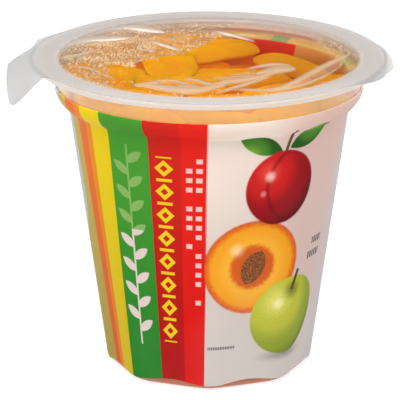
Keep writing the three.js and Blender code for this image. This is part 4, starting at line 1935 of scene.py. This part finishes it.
@dataclass(frozen=True)
class PeachSlices:
    """The peach slices: wedges between two cuts from the skin to the stone, pressed to the wall."""

    form: Body = BODY_FORM
    peach_radius: float = 26.0
    width: float = 19.0
    depth: float = 14.0
    span: float = 44.0
    crown: float = 2.0
    heel: float = 0.2
    bluntness: float = 4.6
    ceiling: float = 76.6
    clearance: float = 0.35
    core_level: float = 54.0
    core_around: int = 96
    core_rows: int = 60
    core_lid: tuple[float, ...] = (0.96, 0.85, 0.7, 0.5, 0.3, 0.1)
    steps: int = 40
    tip: float = 0.97
    unevenness: float = 0.45
    lump: float = 7.0
    end_mark: float = 0.5
    buried_mark: float = 0.75

    def section(self) -> np.ndarray:
        """A slice's cross-section: how far across it and in from its round face each point is."""
        edges = [(e / 2, self.crown * e * e) for e in (1, 0.4, -0.4, -1)]
        return rounded(np.array([*edges, (-self.heel, self.depth), (self.heel, self.depth)]), 3)

    def slice_points(self, size: float) -> np.ndarray:
        """A slice along X with its round face up.

        Args:
            size: its size, as a share of a whole slice.

        Returns:
            An array of rings by points by three.
        """
        shares = np.sin(np.linspace(-1, 1, self.steps + 1) * math.pi / 2 * self.tip)
        loop = self.section()
        rings = []
        for share in shares:
            along = math.radians(self.span * share)
            taper = (1 - abs(share) ** self.bluntness) ** 0.5
            radius = self.peach_radius - loop[:, 1] * taper
            across = loop[:, 0] * self.width * taper
            upwards = math.cos(along) * radius - self.peach_radius + self.depth / 2
            rings.append(np.column_stack([math.sin(along) * radius, across, upwards]))
        return np.array(rings) * size

    def pressed(self, points: np.ndarray) -> np.ndarray:
        """Keeps points inside the cup and under the ceiling.

        Args:
            points: the points, one a row.

        Returns:
            The points, with those outside moved straight in or down.
        """
        x, y, z = points.T
        z = np.minimum(z, self.ceiling)
        angles = np.arctan2(x, -y)
        reach = np.hypot(x, y)
        most = self.form.inner_reach(angles, z, self.clearance)
        scale = np.minimum(1, most / np.maximum(reach, 1e-6))
        return np.column_stack([x * scale, y * scale, z])

    def part(self, place: SlicePlace) -> Part:
        """One slice in its place.

        Args:
            place: where it lies.

        Returns:
            Its points and faces.
        """
        points, faces = capped(self.slice_points(place.size))
        turned = np.array(place.matrix())
        points = points @ turned[:3, :3].T + turned[:3, 3]
        shift = [noise.noise_vector(Vector(p) / self.lump) * self.unevenness for p in points]
        return self.pressed(points + np.array(shift)), faces

    def core(self) -> Part:
        """Makes the closely packed fruit below the slices that show.

        Returns:
            Its points and faces.
        """
        angles = even_angles(self.core_around)
        inset = self.form.wall + self.clearance
        shares = np.linspace(0, self.form.share_at(self.core_level), self.core_rows)
        sides = self.form.surface(angles, shares, -inset)
        lids = [sides[-1] * [share, share, 1] for share in self.core_lid]
        return capped(np.vstack([round_rings(self.form.base_panel(inset), angles), sides, lids]))

    def build(self) -> bpy.types.Object:
        """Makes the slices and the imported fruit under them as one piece.

        Returns:
            The fruit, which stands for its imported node.
        """
        parts = [self.part(place) for place in (*LOWER_SLICES, *MIDDLE_SLICES, *UPPER_SLICES)]
        core = self.core()
        fruit = joined("peach_slices", [core, *parts])
        along = np.tile(self.section()[:, 1] / self.depth, self.steps + 1)
        inwards = [*along, self.end_mark, self.end_mark]
        # The core and the lower slices are marked far towards the stone, so their finish paints them
        # red-orange and glowing: painted light in the gaps between the upper slices.
        deep = len(LOWER_SLICES) + len(MIDDLE_SLICES)
        buried = [self.buried_mark] * (len(core[0]) + deep * len(inwards))
        mark(fruit, STONE_SIDE, np.array(buried + inwards * len(UPPER_SLICES)))
        return settle(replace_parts(fruit, "fruit_heap"), "peach", PeachFlesh().material())


# The front edge of the raft of froth, as places on the syrup.
FOAM_EDGE = (
    (-37, -1), (-27, -3.6), (-18, -2.6), (-15, 2), (-11, 4.5),
    (-6, 8.5), (-2, 13), (1, 19), (4, 29), (8, 38),
)


@dataclass(frozen=True)
class SyrupLook:
    """Clear amber syrup, which darkens with depth, under a froth of very small bubbles."""

    absorbed: Colour = srgb(253, 220, 120)
    density: float = 34.0
    froth: Colour = srgb(166, 146, 118)
    froth_light: Colour = srgb(212, 200, 180)
    froth_cover: float = 0.82
    veil_cover: float = 0.34
    cells: float = 1600.0
    dot_ease: Range = (0.5, 0.12)
    dot_cover: float = 0.2
    blotches: float = 330.0
    blotch_ease: Range = (0.3, 0.7)
    thick_ease: Range = (0.8, 1.2)
    thick_from: Range = (0.0, 0.2)
    veil_from: Range = (0.1, 0.4)
    through: float = 0.35
    bending: float = 1.36

    def material(self) -> bpy.types.Material:
        """Makes the material.

        Returns:
            The finished material.
        """
        s = Shader("amber_syrup")
        leaving = s.add("NewGeometry").outputs["Backfacing"]
        bent = s.add("BsdfRefraction", {"Roughness": 0.0, "IOR": self.bending}).outputs[0]
        surface = s.blend(leaving, bent, s.clear(WHITE))
        foamy = s.attribute(FOAMY)
        cells = s.add("TexVoronoi", {"Vector": s.place(), "Scale": self.cells}).outputs["Distance"]
        dots = s.ease(cells, *self.dot_ease)
        blotch = s.noise(self.blotches, detail=4.0, roughness=0.65)
        piled = s.math("ADD", foamy, s.ease(blotch, *self.blotch_ease))
        thick = s.times(s.ease(piled, *self.thick_ease), s.ease(foamy, *self.thick_from))
        dotted = s.math("MULTIPLY_ADD", dots, self.dot_cover, self.froth_cover - self.dot_cover)
        veil = s.times(s.ease(foamy, *self.veil_from), self.veil_cover)
        cover = s.most(s.times(thick, dotted), veil)
        froth = s.milky(s.mix(dots, self.froth, self.froth_light), self.through)
        depth = s.add("VolumeAbsorption", {"Color": self.absorbed, "Density": self.density})
        return s.done(s.blend(cover, surface, froth), depth.outputs[0])


@dataclass(frozen=True)
class WallFroth:
    """A stretch of froth along the cup's wall, which comes in over reach and over angle."""

    cover: float
    reach: Range
    starts: Range
    ends: Range

    def at(self, reach: np.ndarray, angle: np.ndarray) -> np.ndarray:
        """How thickly it covers some places, from their distance and angle round the axis."""
        along = smoothstep(*self.starts, angle) * smoothstep(*self.ends, angle)
        return self.cover * smoothstep(*self.reach, reach) * along


WALL_FROTH = (
    WallFroth(0.8, (32.0, 35.5), (-98, -80), (-6, -24)),
    WallFroth(0.55, (31.5, 35.0), (94, 104), (134, 124)),
    WallFroth(0.3, (30.0, 34.0), (-72, -50), (72, 50)),
)


@dataclass(frozen=True)
class Syrup:
    """The syrup round the slices, reaching just into the cup's wall."""

    form: Body = BODY_FORM
    level: float = 77.0
    into_wall: float = 0.1
    meniscus: float = 0.25
    meniscus_fall: float = 22.0
    around: int = 192
    wall_rows: int = 80
    lid_rings: int = 72
    raft_ease: Range = (-1.0, 2.5)
    raft_cover: float = 0.95
    raft_thins: float = 0.52
    thin_across: Range = (-22.0, -8.0)
    left_cover: float = 0.5
    left_across: Range = (-21.0, -28.0)

    def froth(self, x: np.ndarray, y: np.ndarray) -> np.ndarray:
        """How thickly the froth covers the syrup.

        Args:
            x, y: places on the syrup, in millimetres.

        Returns:
            The cover at each place, from 0 to 1.
        """
        across, edge = zip(*FOAM_EDGE)
        raft = smoothstep(*self.raft_ease, y - np.interp(x, across, edge))
        raft = raft * (self.raft_cover - self.raft_thins * smoothstep(*self.thin_across, x))
        left = self.left_cover * smoothstep(*self.left_across, x)
        reach, angle = np.hypot(x, y), np.degrees(np.arctan2(x, -y))
        stretches = [stretch.at(reach, angle) for stretch in WALL_FROTH]
        return np.max([raft, left, *stretches], axis=0)

    def build(self) -> bpy.types.Object:
        """Makes the syrup's mesh.

        Returns:
            The syrup.
        """
        angles = even_angles(self.around)
        inset = self.form.wall - self.into_wall
        floor = round_rings(self.form.base_panel(inset), angles)
        sides = self.form.surface(angles, np.linspace(0, 1, self.wall_rows), -inset)
        rim = sides[-1].copy()
        rim[:, 2] = self.level + self.meniscus
        steps = np.linspace(1, 0, self.lid_rings + 1)[1:-1]
        falls = self.meniscus * np.exp(-(1 - steps) * self.meniscus_fall)
        lids = []
        for step, fall in zip(steps, falls):
            ring = rim * [step, step, 1]
            ring[:, 2] = self.level + fall
            lids.append(ring)
        syrup = skin("syrup", np.vstack([floor, sides, [rim], lids]), Ends.CAPPED)
        x, y, z = mesh_points(syrup).T
        mark(syrup, FOAMY, self.froth(x, y) * (z > self.level - MM))
        return lets_lamps_through(settle(syrup, "syrup", SyrupLook().material()))


@dataclass(frozen=True)
class FoamLook:
    """The thin walls of small bubbles, clear in the middle and pale round the edge."""

    pale: Colour = srgb(240, 224, 198)
    tint: Colour = srgb(255, 250, 240)
    clear_share: float = 0.25
    edge_share: float = 0.95
    edge_blend: float = 0.35
    through: float = 0.4
    roughness: float = 0.12

    def material(self) -> bpy.types.Material:
        """Makes the material.

        Returns:
            The finished material.
        """
        s = Shader("syrup_foam")
        facing = s.add("LayerWeight", {"Blend": self.edge_blend}).outputs["Facing"]
        cover = s.math("MULTIPLY_ADD", facing, self.edge_share - self.clear_share, self.clear_share)
        bubble = s.blend(cover, s.clear(self.tint), s.milky(self.pale, self.through))
        return s.done(s.glazed(bubble, s.glint(), self.roughness))


@dataclass(frozen=True)
class FoamPatch:
    """A stretch of the syrup's surface with bubbles on it, from its low to its high corner.

    The edge is a line of places that the foam keeps behind.
    """

    low: tuple[float, float]
    high: tuple[float, float]
    edge: tuple[tuple[float, float], ...]
    pitch: float
    density: float
    radius: Range

    def holds(self, x: float, y: float) -> bool:
        """Whether a place is in the patch."""
        across, back = zip(*self.edge)
        return y > float(np.interp(x, across, back))


FOAM = (
    FoamPatch((-37, -2), (-13, 37), FOAM_EDGE, 0.6, 0.5, (0.12, 0.26)),
    FoamPatch((-13, 5), (12, 37), FOAM_EDGE, 0.65, 0.34, (0.1, 0.22)),
    FoamPatch((-37, -4), (10, 30), tuple((x, y - 1.6) for x, y in FOAM_EDGE), 1.9, 0.5, (0.28, 0.44)),
    FoamPatch((-27, -5.4), (-17, -1), ((-27, -5), (-22, -4), (-17, -4)), 0.85, 0.7, (0.24, 0.42)),
    FoamPatch((-36, -32), (-24, 2), ((-36, -40), (-10, -40)), 1.1, 0.36, (0.14, 0.34)),
    FoamPatch((-24, -26), (-18, -4), ((-36, -40), (-10, -40)), 1.6, 0.2, (0.14, 0.3)),
    FoamPatch((26, 5), (37, 27), ((26, 20), (30, 8), (37, 5)), 0.75, 0.55, (0.13, 0.26)),
    FoamPatch((-14, -36), (20, -26), ((-14, -40), (20, -40)), 1.8, 0.22, (0.16, 0.36)),
)


@dataclass(frozen=True)
class Bubbles:
    """The bubbles between the syrup and the film."""

    form: Body = BODY_FORM
    level: float = 77.0
    film_gap: float = 0.45
    wall_gap: float = 0.5
    around: int = 7
    rings: int = 3
    float_height: float = 0.3
    jitter: float = 0.42
    clumps: float = 0.22
    clumping: float = 0.9
    sways: float = 0.3
    sway: float = 2.0

    def bubble(self, x: float, y: float, radius: float) -> Part:
        """A round bubble, no higher than the film lets it be.

        Args:
            x, y: where it floats.
            radius: its radius.

        Returns:
            Its points and faces.
        """
        middle = self.level + min(radius * self.float_height, self.film_gap - radius)
        turns = even_angles(self.around)
        rises = np.pi * (np.arange(1, self.rings + 1) / (self.rings + 1) - 0.5)
        circle = np.column_stack([np.cos(turns), np.sin(turns), 0 * turns])
        rings = [circle * np.cos(rise) + [0, 0, np.sin(rise)] for rise in rises]
        points = np.vstack([*rings, [[0, 0, -1], [0, 0, 1]]]) * radius + [x, y, middle]
        return points, ring_faces(self.rings, self.around, Ends.CAPPED)

    def places(self, patch: FoamPatch) -> Iterable[tuple[float, float, float]]:
        """Where a patch has bubbles, and their radius.

        Args:
            patch: the patch.

        Yields:
            The place and radius of each.
        """
        reach = self.form.collar_radius - self.form.wall - self.wall_gap
        for y in np.arange(patch.low[1], patch.high[1], patch.pitch):
            for x in np.arange(patch.low[0], patch.high[0], patch.pitch):
                jitter = [random.uniform(-self.jitter, self.jitter) * patch.pitch for _ in range(2)]
                chance, radius = random.random(), random.uniform(*patch.radius)
                px, py = x + jitter[0], y + jitter[1]
                clump = noise.noise(Vector((px, py, 0)) * self.clumps) * self.clumping
                if chance > patch.density + clump or math.hypot(px, py) > reach - radius:
                    continue
                sway = self.sway * noise.noise(Vector((px, py, 5)) * self.sways)
                if patch.holds(px, py + sway):
                    yield px, py, radius

    def build(self) -> bpy.types.Object:
        """Makes the bubbles as one piece.

        Returns:
            The bubbles.
        """
        bubbles = [self.bubble(*place) for patch in FOAM for place in self.places(patch)]
        foam = joined("syrup_bubbles", bubbles)
        return lets_lamps_through(settle(foam, "syrup", FoamLook().material()))


# ---------------------------------------------------------------------------------------------
# The studio
# ---------------------------------------------------------------------------------------------


@dataclass(frozen=True)
class SoftBox:
    """A square soft light that faces the cup."""

    name: str
    azimuth: float
    elevation: float
    distance: float
    size: float
    power: float

    def build(self, target: Vector) -> None:
        """Places the light.

        Args:
            target: the point that it faces, in metres.
        """
        lamp = bpy.data.lights.new(self.name, "AREA")
        lamp.shape = "SQUARE"
        lamp.size = self.size
        lamp.energy = self.power
        holder = bpy.data.objects.new(self.name, lamp)
        bpy.context.scene.collection.objects.link(holder)
        turn, rise = math.radians(self.azimuth), math.radians(self.elevation)
        way = Vector((math.sin(turn) * math.cos(rise), -math.cos(turn) * math.cos(rise), math.sin(rise)))
        holder.location = target + way * self.distance
        holder.rotation_euler = way.to_track_quat("Z", "Y").to_euler()


@dataclass(frozen=True)
class Studio:
    """A plain pale floor, soft lights and the camera."""

    floor_size: float = 8.0
    floor_gap: float = 0.02
    floor_colour: Colour = srgb(160, 160, 160)
    floor_glow: float = 0.76
    world_light: float = 0.06
    target: Vector = field(default_factory=lambda: Vector((0, 0, 0.04)))
    boxes: tuple[SoftBox, ...] = (
        SoftBox("left_front_light", -50, 35, 1.2, 0.9, 8.6),
        SoftBox("right_front_light", 48, 40, 1.3, 0.9, 9.2),
        SoftBox("left_back_light", -125, 22, 1.6, 0.7, 6),
        SoftBox("right_back_light", 125, 22, 1.6, 0.7, 6),
        SoftBox("back_light", 180, 37, 2.4, 1.24, 13),
        SoftBox("high_front_light", -12, 64, 1.3, 0.8, 15),
    )
    camera_at: tuple[float, float, float] = (-0.00223, -1.279, 0.42845)
    camera_dip: float = 16.833
    lens: float = 485.6
    sensor: float = 36.0

    def build(self) -> None:
        """Makes the floor, the lights, the world and the camera."""
        self.floor()
        for box in self.boxes:
            box.build(self.target)
        world = bpy.data.worlds.new("studio")
        world.use_nodes = True
        background = world.node_tree.nodes["Background"]
        background.inputs["Color"].default_value = WHITE
        background.inputs["Strength"].default_value = self.world_light
        bpy.context.scene.world = world
        bpy.context.scene.view_settings.view_transform = "Standard"
        self.camera()

    def floor(self) -> None:
        """Makes the floor."""
        half = self.floor_size / 2 / MM
        sides = ((-1, -1), (1, -1), (1, 1), (-1, 1))
        corners = np.array([[half * x, half * y, -self.floor_gap] for x, y in sides])
        floor = mesh_object("floor", corners, [(0, 1, 2, 3)])
        s = Shader("pale_floor")
        plain = s.add("BsdfDiffuse", {"Color": self.floor_colour}).outputs[0]
        glow = s.add("Emission", {"Strength": self.floor_glow}).outputs[0]
        floor.data.materials.append(s.done(s.add("AddShader", {0: plain, 1: glow}).outputs[0]))
        floor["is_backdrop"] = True

    def camera(self) -> None:
        """Makes the camera."""
        lens = bpy.data.cameras.new("camera")
        lens.lens = self.lens
        lens.sensor_width = self.sensor
        holder = bpy.data.objects.new("camera", lens)
        holder.location = self.camera_at
        holder.rotation_euler = (math.radians(90 - self.camera_dip), 0, 0)
        bpy.context.scene.collection.objects.link(holder)
        bpy.context.scene.camera = holder


# ---------------------------------------------------------------------------------------------


def write_sizes() -> None:
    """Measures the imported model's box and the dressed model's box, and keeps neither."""
    boxes = {"cad": CAD_BOX, "visual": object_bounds()}
    {name: [list(corner) for corner in box] for name, box in boxes.items()}


def main() -> None:
    """Builds the cup from the inside out, then the studio round it."""
    logging.basicConfig(level=logging.INFO, format="%(name)s: %(message)s")
    random.seed(SEED)
    # Vector noise takes its offsets from the clock unless it is seeded too.
    noise.seed_set(SEED)
    Studio().build()
    for part in (PeachSlices(), Syrup(), Bubbles(), CupShell(), Sleeve(), FilmLid()):
        part.build()
    write_sizes()


if __name__ == "__main__":
    main()
